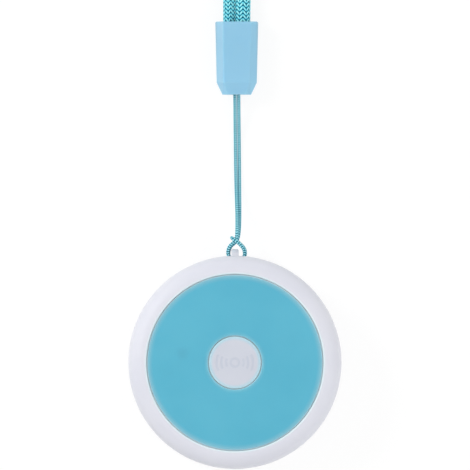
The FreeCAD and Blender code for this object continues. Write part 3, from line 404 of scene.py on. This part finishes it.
def moulded(name, colour, shade, roughness=0.46):
    """Satin moulded plastic, milky inside: fine eroded grain, cloudy tone and a few rubbed patches."""
    finish = Finish(name, Specular_IOR_Level=0.4, Subsurface_Weight=MILKY, Subsurface_Scale=1 * MM,
                    Subsurface_Radius=(1.0, 1.0, 1.0))
    clouds = finish.noise(14, 3).step(0.3, 0.7)
    grains = finish.noise(0.16, 2, 0.6)
    rubbed = finish.noise(5, 4, 0.6).step(0.56, 0.72)
    finish.colour = finish.mix(clouds, srgb(*colour), srgb(*shade))
    finish.roughness = roughness + (grains - 0.5) * 0.12 - rubbed * 0.06
    finish.relief = grains * 0.006
    return finish


def shell_plastic():
    """White shell: dust in the parting line, painted shade on its outer edge, painted light in the opening
    that also pales the back, and a bail polished by the cord.
    """
    finish = moulded("shell plastic", *SHELL_WHITE)
    x, y, z = finish.axes()
    line = 1 - abs(z - PARTING).step(0.06, 0.3)
    specks = finish.noise(0.7, 4, 0.7).step(0.35, 0.65)
    finish.paint(line * specks * 0.3, (176, 178, 184))
    away = finish.radius(0, 0)
    # painted shade: the case is painted darker towards its outer edge, where it turns away from the light
    edge = away.step(CASE_RADIUS - 1.3, CASE_RADIUS - 0.2)
    finish.paint(edge * 0.2, CASE_EDGE_PAINTED_SHADE)
    # painted light: inside the plate's radius the shell is painted paler, to lift the shade in the gap round
    # the plate; the paint reaches the back too
    opening = 1 - away.step(PLATE_RADIUS + 0.1, PLATE_RADIUS + 0.6)
    finish.paint(opening * 0.8, OPENING_PAINTED_LIGHT)
    polished = y.step(CASE_RADIUS - 0.4, CASE_RADIUS + 0.6)
    finish.roughness = finish.roughness - polished * 0.1
    return finish.close()


def face_plastic():
    """Light blue plate: pigment clouds, fine rub marks, painted light on its edges and lips, and the light
    guide showing faintly.
    """
    finish = moulded("face plastic", *FACE_BLUE, roughness=0.42)
    guide = 1 - finish.radius(*GUIDE_PLACE).step(0.3, 1.9)
    finish.paint(guide * 0.25, GUIDE_TONE)
    away = finish.radius(0, 0)
    # painted light: paler towards the outer edge and round the button's hole, to lift the shade in the gaps
    rim = away.step(PLATE_RADIUS - 1.4, PLATE_RADIUS + 0.1)
    hole = 1 - away.step(BUTTON_RADIUS, BUTTON_RADIUS + 1.1)
    finish.paint(rim * 0.36 + hole * 0.22, PLATE_EDGE_PAINTED_LIGHT)
    # painted light: the lips at both gaps are painted brighter still
    outer_lip = away.step(PLATE_RADIUS - 0.25, PLATE_RADIUS - 0.1)
    inner_lip = 1 - away.step(BUTTON_RADIUS + 0.1, BUTTON_RADIUS + 0.2)
    finish.paint((outer_lip + inner_lip) * 0.7, PLATE_LIP_PAINTED_LIGHT)
    rubs = finish.noise(0.6, 4, 0.7, finish.stretched(0.12, 1.0, 1.0)).step(0.64, 0.8)
    finish.paint(rubs * 0.1, (124, 198, 218))
    return finish.close()


def button_plastic():
    """White cap with a shallow sign for a call, a ring between two sets of arcs, dust round its rim, and
    painted light on its lip.
    """
    finish = moulded("button plastic", *BUTTON_WHITE)
    x, y, z = finish.axes()
    away = finish.radius(0, 0)
    arcs = 0
    for reach in SIGN_ARCS:
        arcs = arcs + 1 - abs(away - reach).step(SIGN_LINE, SIGN_LINE + 0.1)
    beside = (abs(x) * SIGN_SPREAD - abs(y)).step(-0.05, 0.05)
    ring = 1 - abs(away - SIGN_RING).step(SIGN_LINE, SIGN_LINE + 0.1)
    sign = (ring + arcs * beside) * z.over(BUTTON_TOP - 0.3)
    finish.paint(sign * 0.6, SIGN_TONE)
    finish.relief = finish.relief - sign * 0.03
    finish.paint(away.step(BUTTON_RADIUS - 1.1, BUTTON_RADIUS) * 0.7, BUTTON_EDGE)
    # painted light: the cap's lip at the gap is painted bright, to lift the shade in the gap
    finish.paint(away.step(BUTTON_RADIUS - 0.25, BUTTON_RADIUS - 0.1) * 0.7, BUTTON_LIP_PAINTED_LIGHT)
    dust = away.over(BUTTON_RADIUS - 0.3) * finish.noise(0.5, 3).step(0.45, 0.7)
    finish.paint(dust * 0.16, (178, 182, 190))
    return finish.close()


def ferrule_plastic():
    """Pale blue moulding: the fine seam that its mould leaves, scuffs, painted light on its bevels and
    painted shade along its sides.
    """
    finish = moulded("ferrule plastic", *FERRULE_BLUE, roughness=0.38)
    x, y, z = finish.axes()
    seam = 1 - abs(z - FERRULE_Z).step(0.03, 0.12)
    scuffs = finish.noise(0.5, 5, 0.7).step(0.62, 0.75)
    finish.paint(seam * 0.2 + scuffs * 0.12, (178, 219, 238))
    aside = x - LANYARD_X
    bevel = FERRULE_HALF - FERRULE_BEVEL
    # painted light on both bevels, more on the right one
    finish.paint((-aside).step(bevel - 0.25, bevel) * 0.25, LEFT_BEVEL_PAINTED_LIGHT)
    finish.paint(aside.step(bevel - 0.25, bevel) * 0.4, RIGHT_BEVEL_PAINTED_LIGHT)
    # painted shade along the outermost sides
    finish.paint(abs(aside).step(FERRULE_HALF - 0.6, FERRULE_HALF - 0.1) * 0.5, FERRULE_EDGE_PAINTED_SHADE)
    finish.relief = finish.relief + seam * 0.03
    return finish.close()


def dark_moulding(name, colour, shade):
    """Small black moulding: glass fibres show faintly in it."""
    finish = Finish(name, Specular_IOR_Level=0.4)
    fibres = finish.noise(0.2, 3, 0.7, finish.stretched(0.2, 1.0, 1.0))
    finish.colour = finish.mix(fibres.step(0.4, 0.75), srgb(*colour), srgb(*shade))
    finish.roughness = 0.5 + (fibres - 0.5) * 0.2
    finish.relief = fibres * 0.008
    return finish


def switch_moulding():
    """Black switch housing with its pressed steel lid, held by four melted pegs."""
    finish = dark_moulding("switch moulding", (30, 30, 32), (48, 48, 51))
    x, y, z = finish.axes()
    low, high = box_of("switch_body")
    lid = z.over(high[2] - SWITCH_LID)
    pegs = ((abs(x) - SWITCH_PEG) ** 2 + (abs(y) - SWITCH_PEG) ** 2).under(0.1)
    steel = lid * (1 - pegs)
    finish.paint(steel, (176, 178, 180))
    finish.metal = steel * 0.9
    finish.roughness = finish.roughness - steel * 0.15
    return finish.close()


def soft_rubber(name, colour, shade):
    """Silicone: milky tone, a dull skin with moulding ripples, and lint that clings to it."""
    finish = Finish(name, Specular_IOR_Level=0.35, Sheen_Weight=0.15)
    milk = finish.noise(3, 3)
    lint = finish.noise(0.25, 2, 0.7, finish.stretched(0.2, 1.0, 1.0)).step(0.68, 0.78)
    finish.colour = finish.mix(milk, srgb(*colour), srgb(*shade))
    finish.roughness = 0.62 + (milk - 0.5) * 0.1 + lint * 0.15
    finish.relief = finish.noise(0.8, 2) * 0.02 + lint * 0.01
    return finish.close()


def tape_film():
    """Double-sided adhesive film: a fine fibre carrier with small trapped bubbles."""
    finish = Finish("tape film", Specular_IOR_Level=0.45)
    fibres = finish.noise(0.3, 3, 0.7, finish.stretched(0.15, 1.0, 1.0))
    bubbles = 1 - finish.cells(1.1).step(0.12, 0.2)
    finish.colour = finish.mix(fibres, srgb(216, 219, 214), srgb(198, 202, 196))
    finish.roughness = 0.4 + fibres * 0.2 - bubbles * 0.15
    finish.relief = fibres * 0.01 + bubbles * 0.01
    return finish.close()


def board_laminate():
    """Green mask over tracks and plated holes, with the bare glass laminate at the board's edge and the
    drilled bores as painted shade.
    """
    finish = Finish("board laminate", Specular_IOR_Level=0.5)
    x, y, z = finish.axes()
    low, high = box_of("main_board")
    choice = finish.noise(5.5, 0)
    across = abs((x / TRACK_PITCH).fraction() - 0.5).under(0.25) * choice.over(0.53)
    along = abs((y / TRACK_PITCH).fraction() - 0.5).under(0.25) * choice.under(0.47)
    tracks = across + along
    holes = finish.cells(1.9)
    speckle = finish.noise(0.4, 3, 0.6)
    faces = (abs(z - (low[2] + high[2]) / 2) - (high[2] - low[2]) / 2).over(-0.03)
    plated = holes.under(0.15) * faces
    # painted shade: the drilled bores are near-black discs, not cut holes
    bore_painted_shade = holes.under(0.07) * faces
    finish.colour = finish.mix(speckle, srgb(150, 144, 96), srgb(118, 116, 74))
    finish.paint(faces, (16, 92, 55))
    finish.paint(faces * tracks, (40, 124, 74))
    finish.paint(plated, (190, 191, 186))
    finish.paint(bore_painted_shade, (22, 24, 20))
    finish.metal = plated * 0.8 - bore_painted_shade * 0.8
    finish.roughness = 0.7 - faces * 0.34 + (speckle - 0.5) * 0.1
    finish.relief = tracks * faces * 0.015 + plated * 0.02 - bore_painted_shade * 0.1
    return finish.close()


def fired_ceramic():
    """Tan ceramic with darker grains; the electrode on its top is screened silver with a drop of solder."""
    finish = Finish("fired ceramic", Specular_IOR_Level=0.45)
    x, y, z = finish.axes()
    low, high = box_of("positioning_antenna")
    middle = middle_of(low, high)
    reach = abs(x - middle[0]).math("MAXIMUM", abs(y - middle[1]))
    silvered = reach.under(ELECTRODE / 2) * z.over(high[2] - 0.1)
    drop = 1 - finish.radius(middle[0] + 1.2, middle[1]).step(0.5, 0.9)
    grains = finish.noise(0.25, 3, 0.7)
    strokes = finish.noise(0.3, 3, 0.6, finish.stretched(1.0, 0.1, 1.0))
    finish.colour = finish.mix(grains.step(0.35, 0.7), srgb(226, 214, 190), srgb(204, 188, 158))
    finish.paint(silvered, (208, 208, 202))
    finish.paint(silvered * strokes.step(0.4, 0.7) * 0.6, (180, 180, 172))
    finish.metal = silvered * 0.85
    finish.roughness = 0.72 - silvered * 0.3 + strokes * 0.08
    finish.relief = grains * 0.01 + strokes * silvered * 0.01 + drop * silvered * 0.15
    return finish.close()


def sheet_metal(name, colour, shade, grain=(0.08, 1.0, 1.0), roughness=0.36):
    """Thin formed sheet: rolling lines, faint tarnish, specks and shallow waves from the press."""
    finish = Finish(name)
    rolled = finish.noise(0.35, 4, 0.6, finish.stretched(*grain))
    tarnish = finish.noise(2.4, 4, 0.6).step(0.35, 0.75)
    specks = finish.noise(0.2, 2, 0.7).step(0.68, 0.76)
    finish.colour = finish.mix(tarnish, srgb(*colour), srgb(*shade))
    finish.paint(specks * 0.4, (96, 94, 90))
    finish.metal = 0.95 - specks * 0.4
    finish.roughness = roughness + (rolled - 0.5) * 0.22 + specks * 0.2
    finish.relief = finish.noise(3.0, 1) * 0.02 + rolled * 0.002
    return finish


def microphone_can():
    """Plated can of the microphone; its sound port in the low side is a disc of painted shade."""
    finish = sheet_metal("microphone can", (204, 190, 152), (180, 166, 130))
    x, y, z = finish.axes()
    low, high = box_of("microphone")
    # painted shade: the port is a near-black disc, not a hole
    port = finish.radius(*MIC_PLACE).under(0.22) * z.under(low[2] + 0.1)
    finish.paint(port, (16, 15, 14))
    finish.metal = finish.metal * (1 - port)
    return finish.close()


def turned_metal(name, colour, shade, away, roughness=0.32):
    """Drawn or turned metal: fine rings round an upright axis, with handling marks. away gives the radius."""
    finish = Finish(name)
    rings = finish.node("ShaderNodeTexNoise", {"noise_dimensions": "1D"},
                        {"W": away(finish) * 9, "Scale": 1.0, "Detail": 3.0})
    marks = finish.noise(1.6, 4, 0.7).step(0.55, 0.75)
    finish.colour = finish.mix(marks, srgb(*colour), srgb(*shade))
    finish.metal = 0.95 - marks * 0.15
    finish.roughness = roughness + (rings - 0.5) * 0.2 + marks * 0.1
    finish.relief = rings * 0.006
    return finish.close()


def round_motor(finish):
    """Distance from the motor's axis."""
    return finish.radius(*MOTOR_PLACE)


def round_screw(finish):
    """Distance from the nearest of the four screws."""
    x, y, z = finish.axes()
    return ((abs(x) - SCREW_PLACE) ** 2 + (abs(y) - SCREW_PLACE) ** 2) ** 0.5


def round_magnet(finish):
    """Distance from the nearer of the two magnets."""
    x, y, z = finish.axes()
    return ((x - MAGNET_PLACE[0]) ** 2 + (abs(y) - MAGNET_PLACE[1]) ** 2) ** 0.5


def pressed_powder():
    """Sintered heavy metal: dull grey, with open pores."""
    finish = Finish("pressed powder")
    pores = 1 - finish.cells(0.35).step(0.1, 0.3)
    grains = finish.noise(0.3, 3, 0.7)
    finish.colour = finish.mix(grains, srgb(128, 127, 128), srgb(98, 97, 99))
    finish.paint(pores * 0.6, (52, 51, 52))
    finish.metal = 0.9 - pores * 0.5
    finish.roughness = 0.5 + grains * 0.15 + pores * 0.15
    finish.relief = grains * 0.01 - pores * 0.02
    return finish.close()


def chip_epoxy(node):
    """Chip: matt black with glints of filler, a round mark at its first corner and tinned leg ends."""
    finish = Finish(node.replace("_", " ") + " epoxy", Specular_IOR_Level=0.4)
    x, y, z = finish.axes()
    low, high = box_of(node)
    filler = finish.noise(0.07, 2, 0.7)
    mark = finish.radius(low[0] + 0.5, high[1] - 0.5).under(0.2) * z.over(high[2] - 0.1)
    on_end = (abs(x - (low[0] + high[0]) / 2) - (high[0] - low[0]) / 2).over(-0.02)
    pitch = (y / LEG_PITCH).fraction() * on_end + (x / LEG_PITCH).fraction() * (1 - on_end)
    legs = pitch.under(0.5) * z.under(low[2] + 0.16)
    finish.colour = finish.mix(filler.step(0.4, 0.8), srgb(34, 34, 37), srgb(56, 56, 60))
    finish.paint(mark, (20, 20, 22))
    finish.paint(legs, (190, 188, 182))
    finish.metal = legs * 0.9
    finish.roughness = 0.62 - mark * 0.3 - legs * 0.25 + (filler - 0.5) * 0.15
    finish.relief = filler * 0.006 - mark * 0.02
    return finish.close()


def card_plastic():
    """White card with the gold contact fields on its low side, parted by thin gaps."""
    finish = moulded("card plastic", (232, 233, 231), (226, 227, 224))
    x, y, z = finish.axes()
    low, high = box_of("sim_card")
    middle = middle_of(low, high)
    aside = x - middle[0]
    ahead = y - middle[1]
    field = abs(aside).under(FIELD_HALF[0]) * abs(ahead).under(FIELD_HALF[1]) * z.under(low[2] + 0.05)
    across = abs((aside / FIELD_PITCH[0]).fraction() - 0.5).under(0.46)
    along = abs((ahead / FIELD_PITCH[1] + 0.5).fraction() - 0.5).under(0.46)
    gold = field * across * along
    finish.paint(gold, (214, 178, 104))
    finish.metal = gold * 0.9
    finish.roughness = finish.roughness - gold * 0.2
    return finish.close()


def lamp_package():
    """Lamp: white housing, yellow resin in its window, tinned ends."""
    finish = moulded("lamp package", (236, 236, 230), (228, 228, 220))
    x, y, z = finish.axes()
    low, high = box_of("status_lamp")
    middle = middle_of(low, high)
    from_middle = abs(x - middle[0])
    window = (from_middle / 0.5) ** 4 + (abs(y - middle[1]) / 0.28) ** 4
    resin = (1 - window.step(0.8, 1.0)) * z.over(high[2] - 0.05)
    ends = from_middle.over((high[0] - low[0]) / 2 - 0.22) * z.under(high[2] - 0.1)
    finish.paint(resin, (238, 206, 84))
    finish.paint(ends, (196, 196, 190))
    finish.metal = ends * 0.9
    finish.roughness = finish.roughness - resin * 0.25
    return finish.close()


def clear_rod():
    """Clear guide: faint flow lines and a frosted cast."""
    finish = Finish("clear rod", Transmission_Weight=0.85, IOR=1.49)
    flow = finish.noise(0.9, 3, 0.5, finish.stretched(1.0, 1.0, 0.2))
    finish.colour = finish.mix(flow, srgb(240, 245, 247), srgb(226, 236, 240))
    finish.roughness = 0.1 + flow * 0.12
    finish.relief = flow * 0.01
    return finish.close()


def cell_foam():
    """Closed-cell foam: round cells between thin paler walls."""
    finish = Finish("cell foam", Specular_IOR_Level=0.2, Sheen_Weight=0.1)
    cells = finish.cells(0.28)
    tone = finish.noise(2.5, 3)
    finish.colour = finish.mix(tone, srgb(58, 58, 61), srgb(46, 46, 49))
    finish.paint(cells.step(0.3, 0.6) * 0.5, (84, 84, 88))
    finish.roughness = 0.85 + tone * 0.1
    finish.relief = cells * 0.05
    return finish.close()


def pouch_foil():
    """Laminated pouch: soft creases, dull silver, and amber tape over the end that its lead leaves."""
    finish = Finish("pouch foil")
    x, y, z = finish.axes()
    low, high = box_of("battery_cell")
    creases = finish.noise(2.2, 4, 0.6, finish.stretched(1.0, 0.35, 1.0))
    fine = finish.noise(0.35, 3, 0.6)
    tape = y.under(low[1] + 1.6)
    finish.colour = finish.mix(creases.step(0.4, 0.7), srgb(205, 207, 210), srgb(184, 186, 190))
    finish.paint(tape, (196, 132, 44))
    finish.paint(tape * fine.step(0.5, 0.8) * 0.4, (150, 94, 26))
    finish.metal = 0.9 - tape * 0.6
    finish.roughness = 0.4 + (fine - 0.5) * 0.2 - tape * 0.1
    finish.relief = creases * 0.12 + fine * 0.01
    return finish.close()


def wire_sleeves():
    """Insulation of the battery's two wires: the outer bend is red, the inner one black."""
    finish = Finish("wire sleeves", Specular_IOR_Level=0.45)
    x, y, z = finish.axes()
    outer = y.under(WIRE_SPLIT[1]).math("MAXIMUM", x.under(WIRE_SPLIT[0]))
    tone = finish.noise(0.6, 3, 0.6)
    finish.colour = finish.mix(tone, srgb(38, 37, 38), srgb(26, 25, 27))
    finish.paint(outer, (178, 34, 30))
    finish.paint(outer * tone.step(0.45, 0.75) * 0.5, (150, 22, 22))
    finish.roughness = 0.42 + (tone - 0.5) * 0.2
    finish.relief = tone * 0.01
    return finish.close()


def antenna_film():
    """Copper strip under amber film, its pattern cut by slots."""
    finish = Finish("antenna film", Specular_IOR_Level=0.5)
    x, y, z = finish.axes()
    low, high = box_of("cellular_antenna")
    inside = z.over(low[2] + 0.5) * z.under(high[2] - 0.5)
    slots = abs((x / STRIP_PITCH).fraction() - 0.5).under(0.06) * z.over(low[2] + 1.4)
    tails = abs((x / STRIP_PITCH + 0.5).fraction() - 0.5).under(0.06) * z.under(high[2] - 1.4)
    copper = inside * (1 - slots) * (1 - tails)
    tone = finish.noise(0.8, 3, 0.6)
    finish.colour = finish.mix(tone, srgb(170, 104, 32), srgb(146, 86, 24))
    finish.paint(copper, (206, 134, 74))
    finish.metal = copper * 0.6
    finish.roughness = 0.3 + tone * 0.12
    finish.relief = copper * 0.02 + tone * 0.005
    return finish.close()


def speaker_body():
    """Loudspeaker: black frame, and a dished membrane with pressed rings."""
    finish = dark_moulding("speaker body", (34, 34, 36), (50, 50, 53))
    low, high = box_of("loudspeaker")
    away = finish.radius((low[0] + high[0]) / 2, (low[1] + high[1]) / 2)
    x, y, z = finish.axes()
    membrane = away.under(SPEAKER_MOUTH) * z.under(low[2] + 0.8)
    rings = (away * math.tau / SPEAKER_RINGS).sin() * 0.5 + 0.5
    finish.paint(membrane, (78, 76, 74))
    finish.roughness = finish.roughness - membrane * 0.1
    finish.relief = finish.relief + rings * membrane * 0.04
    return finish.close()


# Cords

def route_line(name, points, resolution):
    """Points along the smooth line that a cord follows."""
    curve = bpy.data.curves.new(name, "CURVE")
    curve.dimensions = "3D"
    curve.resolution_u = resolution
    spline = curve.splines.new("NURBS")
    spline.points.add(len(points) - 1)
    for target, point in zip(spline.points, points):
        target.co = (*point, 1.0)
    spline.order_u = 3
    spline.use_endpoint_u = True
    holder = bpy.data.objects.new(name, curve)
    bpy.context.scene.collection.objects.link(holder)
    mesh = bpy.data.meshes.new_from_object(holder)
    line = [vertex.co.copy() for vertex in mesh.vertices]
    bpy.data.objects.remove(holder)
    bpy.data.meshes.remove(mesh)
    return line


def spaced(line, spacing):
    """Rings' places along a line, at the distance apart that spacing gives for each place."""
    rings = [(0.0, line[0])]
    wanted = spacing(line[0])
    travelled = 0.0
    for first, second in zip(line, line[1:]):
        length = (second - first).length
        while wanted <= travelled + length:
            point = first.lerp(second, (wanted - travelled) / length)
            rings.append((wanted, point))
            wanted += spacing(point)
        travelled += length
    return rings, travelled


class Plait:
    """Pattern of a plaited cord, in columns of slanting stitches.

    samples are the mesh's columns in each column of stitches, and pitch is the length of a stitch. slant is
    how far it climbs over its column and offset how far every second column is pushed along, both in pitches.
    gap is how wide the valleys between the stitches are.
    """

    def __init__(self, columns, samples, pitch, slant, offset, gap):
        self.columns = columns
        self.samples = samples
        self.pitch = pitch
        self.slant = slant
        self.offset = offset
        self.gap = gap


def stitch(around, along, plait):
    """Height from 0 to 1 of a plaited surface; the slant alternates from column to column."""
    column = math.floor(around)
    across = around - column - 0.5
    slant = plait.slant if column % 2 else -plait.slant
    turn = math.pi * (along + plait.offset * (column % 2) + slant * across)
    return abs(math.sin(turn)) ** plait.gap * math.sqrt(1 - STITCH_ROUND * across * across)


def plaited_tube(name, rings, diameter, plait, relief, press):
    """Tube along rings with its plait's relief and pressed oval. A UV map holds the pattern's coordinates."""
    count = plait.columns * plait.samples
    vertices = []
    centres = [point for _, point in rings]
    direction = (centres[1] - centres[0]).normalized()
    side = direction.orthogonal().normalized()
    for index, (along, centre) in enumerate(rings):
        after = centres[min(index + 1, len(centres) - 1)]
        before = centres[max(index - 1, 0)]
        turned = (after - before).normalized()
        side = direction.rotation_difference(turned) @ side
        side = (side - turned * side.dot(turned)).normalized()
        direction = turned
        up = direction.cross(side)
        for step in range(count):
            around = (step + 0.5) / plait.samples
            angle = math.tau * step / count
            height = stitch(around, along / plait.pitch, plait)
            radius = diameter / 2 - relief(centre) * (1 - height)
            away = side * (radius * math.cos(angle)) + up * (radius * math.sin(angle))
            vertices.append(centre + away * press(centre))
    faces = []
    for index in range(len(rings) - 1):
        low = index * count
        for step in range(count):
            beside = (step + 1) % count
            faces.append((low + step, low + beside, low + count + beside, low + count + step))
    faces.append(tuple(reversed(range(count))))
    last = (len(rings) - 1) * count
    faces.append(tuple(range(last, last + count)))
    mesh = bpy.data.meshes.new(name)
    mesh.from_pydata([tuple(vertex) for vertex in vertices], [], faces)
    uv = mesh.uv_layers.new(name="plait")
    for polygon in mesh.polygons:
        steps = [vertex % count for vertex in polygon.vertices]
        wraps = len(steps) == 4 and max(steps) == count - 1 and min(steps) == 0
        for loop in polygon.loop_indices:
            vertex = mesh.loops[loop].vertex_index
            step = vertex % count
            if wraps and step == 0:
                step = count
            uv.data[loop].uv = ((step + 0.5) / plait.samples, rings[vertex // count][0] / plait.pitch)
        polygon.use_smooth = True
    piece = bpy.data.objects.new(name, mesh)
    bpy.context.scene.collection.objects.link(piece)
    return piece


def plait_finish(name, plait, light, middle, dark, depth, tufts):
    """Plaited yarn of fine fibres: its colour follows the stitches' height, a painted highlight on their tops
    and painted shade in the deep gaps.
    """
    finish = Finish(name, Sheen_Weight=0.08, Sheen_Roughness=0.5, Specular_IOR_Level=0.15)
    around, along = finish.split(finish.node("ShaderNodeUVMap", {"uv_map": "plait"}))[:2]
    column = around.whole()
    across = around.fraction() - 0.5
    odd = (column / 2).fraction() * 2
    shifted = along + odd * plait.offset + (odd * 2 - 1) * plait.slant * across
    stitches = abs((shifted * math.pi).sin()) ** plait.gap
    rounded = (1 - across * across * STITCH_ROUND) ** 0.5
    height = stitches * rounded
    spread = finish.node("ShaderNodeCombineXYZ", sockets={
        0: around * 9 + shifted * 5, 1: shifted * 0.9, 2: column})
    fibres = finish.node("ShaderNodeTexNoise", sockets={"Vector": spread, "Scale": 1.6, "Detail": 3.0})
    worn = finish.noise(tufts, 3, 0.6)
    # painted light and shade: the tone rises with the stitches' height, from painted shade in the gaps to a
    # painted highlight on the tops
    tone = height * 0.8 + fibres * 0.35 + worn * 0.2 - 0.22
    finish.colour = finish.node("ShaderNodeValToRGB", {"stops": [
        (0.30, srgb(*dark)), (0.50, srgb(*middle)), (0.84, srgb(*light))]}, {0: tone})
    finish.roughness = 0.8
    finish.relief = (height + fibres * 0.25) * depth
    return finish.close()


def smooth(share):
    """From 0 to 1 smoothly, as share does."""
    share = min(max(share, 0.0), 1.0)
    return share * share * (3 - 2 * share)


def coil_points():
    """Control points of the put-away turns: inwards on the surface, then outwards on top of them."""
    cut_inside = (1 + math.cos(math.pi / POINTS_PER_TURN)) / 2
    points = []
    for index in range(1, round(COIL_TURNS * POINTS_PER_TURN)):
        turn = index / POINTS_PER_TURN
        away = math.sqrt((turn - COIL_MIDDLE) ** 2 + COIL_EASE)
        radius = (COIL_SMALLEST + NECK_DIAMETER * away) / cut_inside
        angle = math.pi - math.tau * turn
        climbed = smooth((turn - COIL_CLIMB[0]) / COIL_CLIMB[1])
        descended = smooth((turn - COIL_DESCENT[0]) / COIL_DESCENT[1])
        height = NECK_DIAMETER * (COIL_REST + (climbed - descended))
        points.append(COIL_CENTRE + Vector((radius * math.cos(angle), radius * math.sin(angle), height)))
    return points


def neck_spacing(point):
    return FINE_SPACING if point.y < FINE_UNTIL else COARSE_SPACING


def neck_relief(point):
    return FINE_RELIEF if point.y < FINE_UNTIL else COARSE_RELIEF


def neck_press(point):
    """The two runs squeeze each other into ovals above the ferrule, the right one lying flatter."""
    near = 1 - smooth((point.y / MM - PRESSED_UNTIL) / PRESSED_FADE)
    wide, tall = LEFT_OVAL if point.x < LANYARD_X * MM else RIGHT_OVAL
    return Vector((1 + near * (wide - 1), 1.0, 1 + near * (tall - 1)))


def hitch_spacing(point):
    return HITCH_SPACING


def hitch_relief(point):
    return HITCH_RELIEF


def hitch_press(point):
    """The thin cord stays round."""
    return Vector((1.0, 1.0, 1.0))


def make_neck_cord():
    """The neck cord, both runs and the put-away turns. Gives it with its line, rings and length."""
    line = route_line("neck_line", LEFT_ROUTE + coil_points() + RIGHT_ROUTE[::-1], 24)
    plait = Plait(columns=14, samples=3, pitch=NECK_PITCH, slant=0.9, offset=0.0, gap=0.9)
    rings, length = spaced(line, neck_spacing)
    neck = plaited_tube("neck_cord", rings, NECK_DIAMETER, plait, neck_relief, neck_press)
    neck.data.materials.append(plait_finish("neck plait", plait, *NECK_YARN_AND_PAINTED_LIGHT, depth=0.10, tufts=3.0))
    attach(neck, "case")
    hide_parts("neck_cord_left", "neck_cord_right", "neck_cord_coil")
    return neck, line, rings, length


def make_hitch_cord():
    """The thin cord round the bail. Gives it with its line, rings and length."""
    line = route_line("hitch_line", HITCH_ROUTE, 32)
    plait = Plait(columns=4, samples=4, pitch=HITCH_PITCH, slant=0.3, offset=0.2, gap=1.0)
    rings, length = spaced(line, hitch_spacing)
    hitch = plaited_tube("hitch_cord_plait", rings, HITCH_DIAMETER, plait, hitch_relief, hitch_press)
    hitch.data.materials.append(plait_finish("thin plait", plait, *HITCH_YARN_AND_PAINTED_LIGHT, depth=0.02, tufts=1.5))
    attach(hitch, "case")
    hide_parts("hitch_cord")
    return hitch, line, rings, length


def make_cords():
    neck, neck_line, neck_rings, neck_length = make_neck_cord()
    hitch, hitch_line, hitch_rings, hitch_length = make_hitch_cord()
    print("cord lengths", round(neck_length, 4), round(hitch_length, 4))

    [tuple(point) for _, point in hitch_rings[::4]] + [tuple(hitch_line[-1])]
    [tuple(point) for _, point in neck_rings[::3]] + [tuple(neck_line[-1])]


def dress(finishes):
    """Gives every part of the frame its material."""
    for material, nodes in finishes:
        for node in nodes:
            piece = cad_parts[node]
            for slot in piece.material_slots:
                slot.material = material
            if not piece.material_slots:
                piece.data.materials.append(material)


def make_floor():
    """White surface that shows brighter than it is lit, so that it runs into the white room."""
    bpy.ops.object.select_all(action="DESELECT")
    bpy.ops.mesh.primitive_grid_add(x_subdivisions=8, y_subdivisions=8, size=6.0, location=(0, 0, 0))
    floor = bpy.context.object
    floor.name = "floor"
    finish = Finish("floor", Roughness=0.9, Specular_IOR_Level=0.1)
    finish.set(Base_Color=finish.mix(finish.noise(300, 2), (0.93, 0.93, 0.93, 1), (0.94, 0.94, 0.94, 1)))
    camera, glossy, through = (finish.node("ShaderNodeLightPath", output=ray)
                               for ray in ("Is Camera Ray", "Is Glossy Ray", "Is Transmission Ray"))
    lit = Value(finish, finish.surface.outputs[0])
    glow = finish.node("ShaderNodeEmission", sockets={"Strength": FLOOR_WHITE})
    seen = (camera + glossy + through) * FLOOR_GLOW
    mixed = finish.node("ShaderNodeMixShader", sockets={0: seen, 1: lit, 2: glow})
    finish.put(finish.output.inputs[0], mixed)
    floor.data.materials.append(finish.material)


set_up_view()
make_cords()
set_up_light()
make_floor()
dress([
    (shell_plastic(), ["rear_shell", "front_shell"]),
    (face_plastic(), ["face_plate"]),
    (button_plastic(), ["call_button"]),
    (ferrule_plastic(), ["cord_ferrule"]),
    (tape_film(), ["plate_film"]),
    (soft_rubber("seal silicone", (206, 210, 214), (196, 200, 205)),
     ["shell_gasket", "button_seal", "microphone_boot"]),
    (dark_moulding("ring moulding", (38, 38, 41), (54, 54, 58)).close(), ["seal_retainer"]),
    (switch_moulding(), ["switch_body"]),
    (moulded("plunger plastic", (176, 48, 42), (164, 40, 36)).close(), ["switch_plunger"]),
    (board_laminate(), ["main_board"]),
    (fired_ceramic(), ["positioning_antenna"]),
    (sheet_metal("shield tin", (206, 207, 208), (188, 190, 191)).close(),
     ["positioning_receiver", "cellular_module"]),
    (sheet_metal("holder steel", (196, 198, 200), (176, 178, 181), (1.0, 0.06, 1.0), 0.3).close(),
     ["sim_holder"]),
    (card_plastic(), ["sim_card"]),
    (chip_epoxy("controller_chip"), ["controller_chip"]),
    (chip_epoxy("motion_sensor"), ["motion_sensor"]),
    (turned_metal("motor steel", (196, 197, 199), (176, 177, 180), round_motor),
     ["motor_can", "motor_base"]),
    (pressed_powder(), ["motor_rotor"]),
    (lamp_package(), ["status_lamp"]),
    (clear_rod(), ["light_guide"]),
    (microphone_can(), ["microphone"]),
    (pouch_foil(), ["battery_cell"]),
    (cell_foam(), ["battery_pad", "speaker_gasket"]),
    (wire_sleeves(), ["battery_lead"]),
    (moulded("connector nylon", (226, 221, 205), (218, 212, 194)).close(),
     ["battery_plug", "battery_socket"]),
    (speaker_body(), ["loudspeaker"]),
    (sheet_metal("pin gold", (222, 186, 104), (204, 164, 84), (1.0, 1.0, 0.1), 0.26).close(),
     ["charge_pins", "antenna_spring"]),
    (turned_metal("magnet nickel", (206, 203, 196), (188, 184, 176), round_magnet, 0.22),
     ["charge_magnets"]),
    (antenna_film(), ["cellular_antenna"]),
    (turned_metal("screw zinc", (190, 194, 198), (168, 173, 178), round_screw, 0.34), ["case_screws"]),
    (sheet_metal("crimp steel", (190, 191, 192), (168, 169, 171), (0.08, 1.0, 1.0), 0.4).close(),
     ["cord_crimp"]),
])
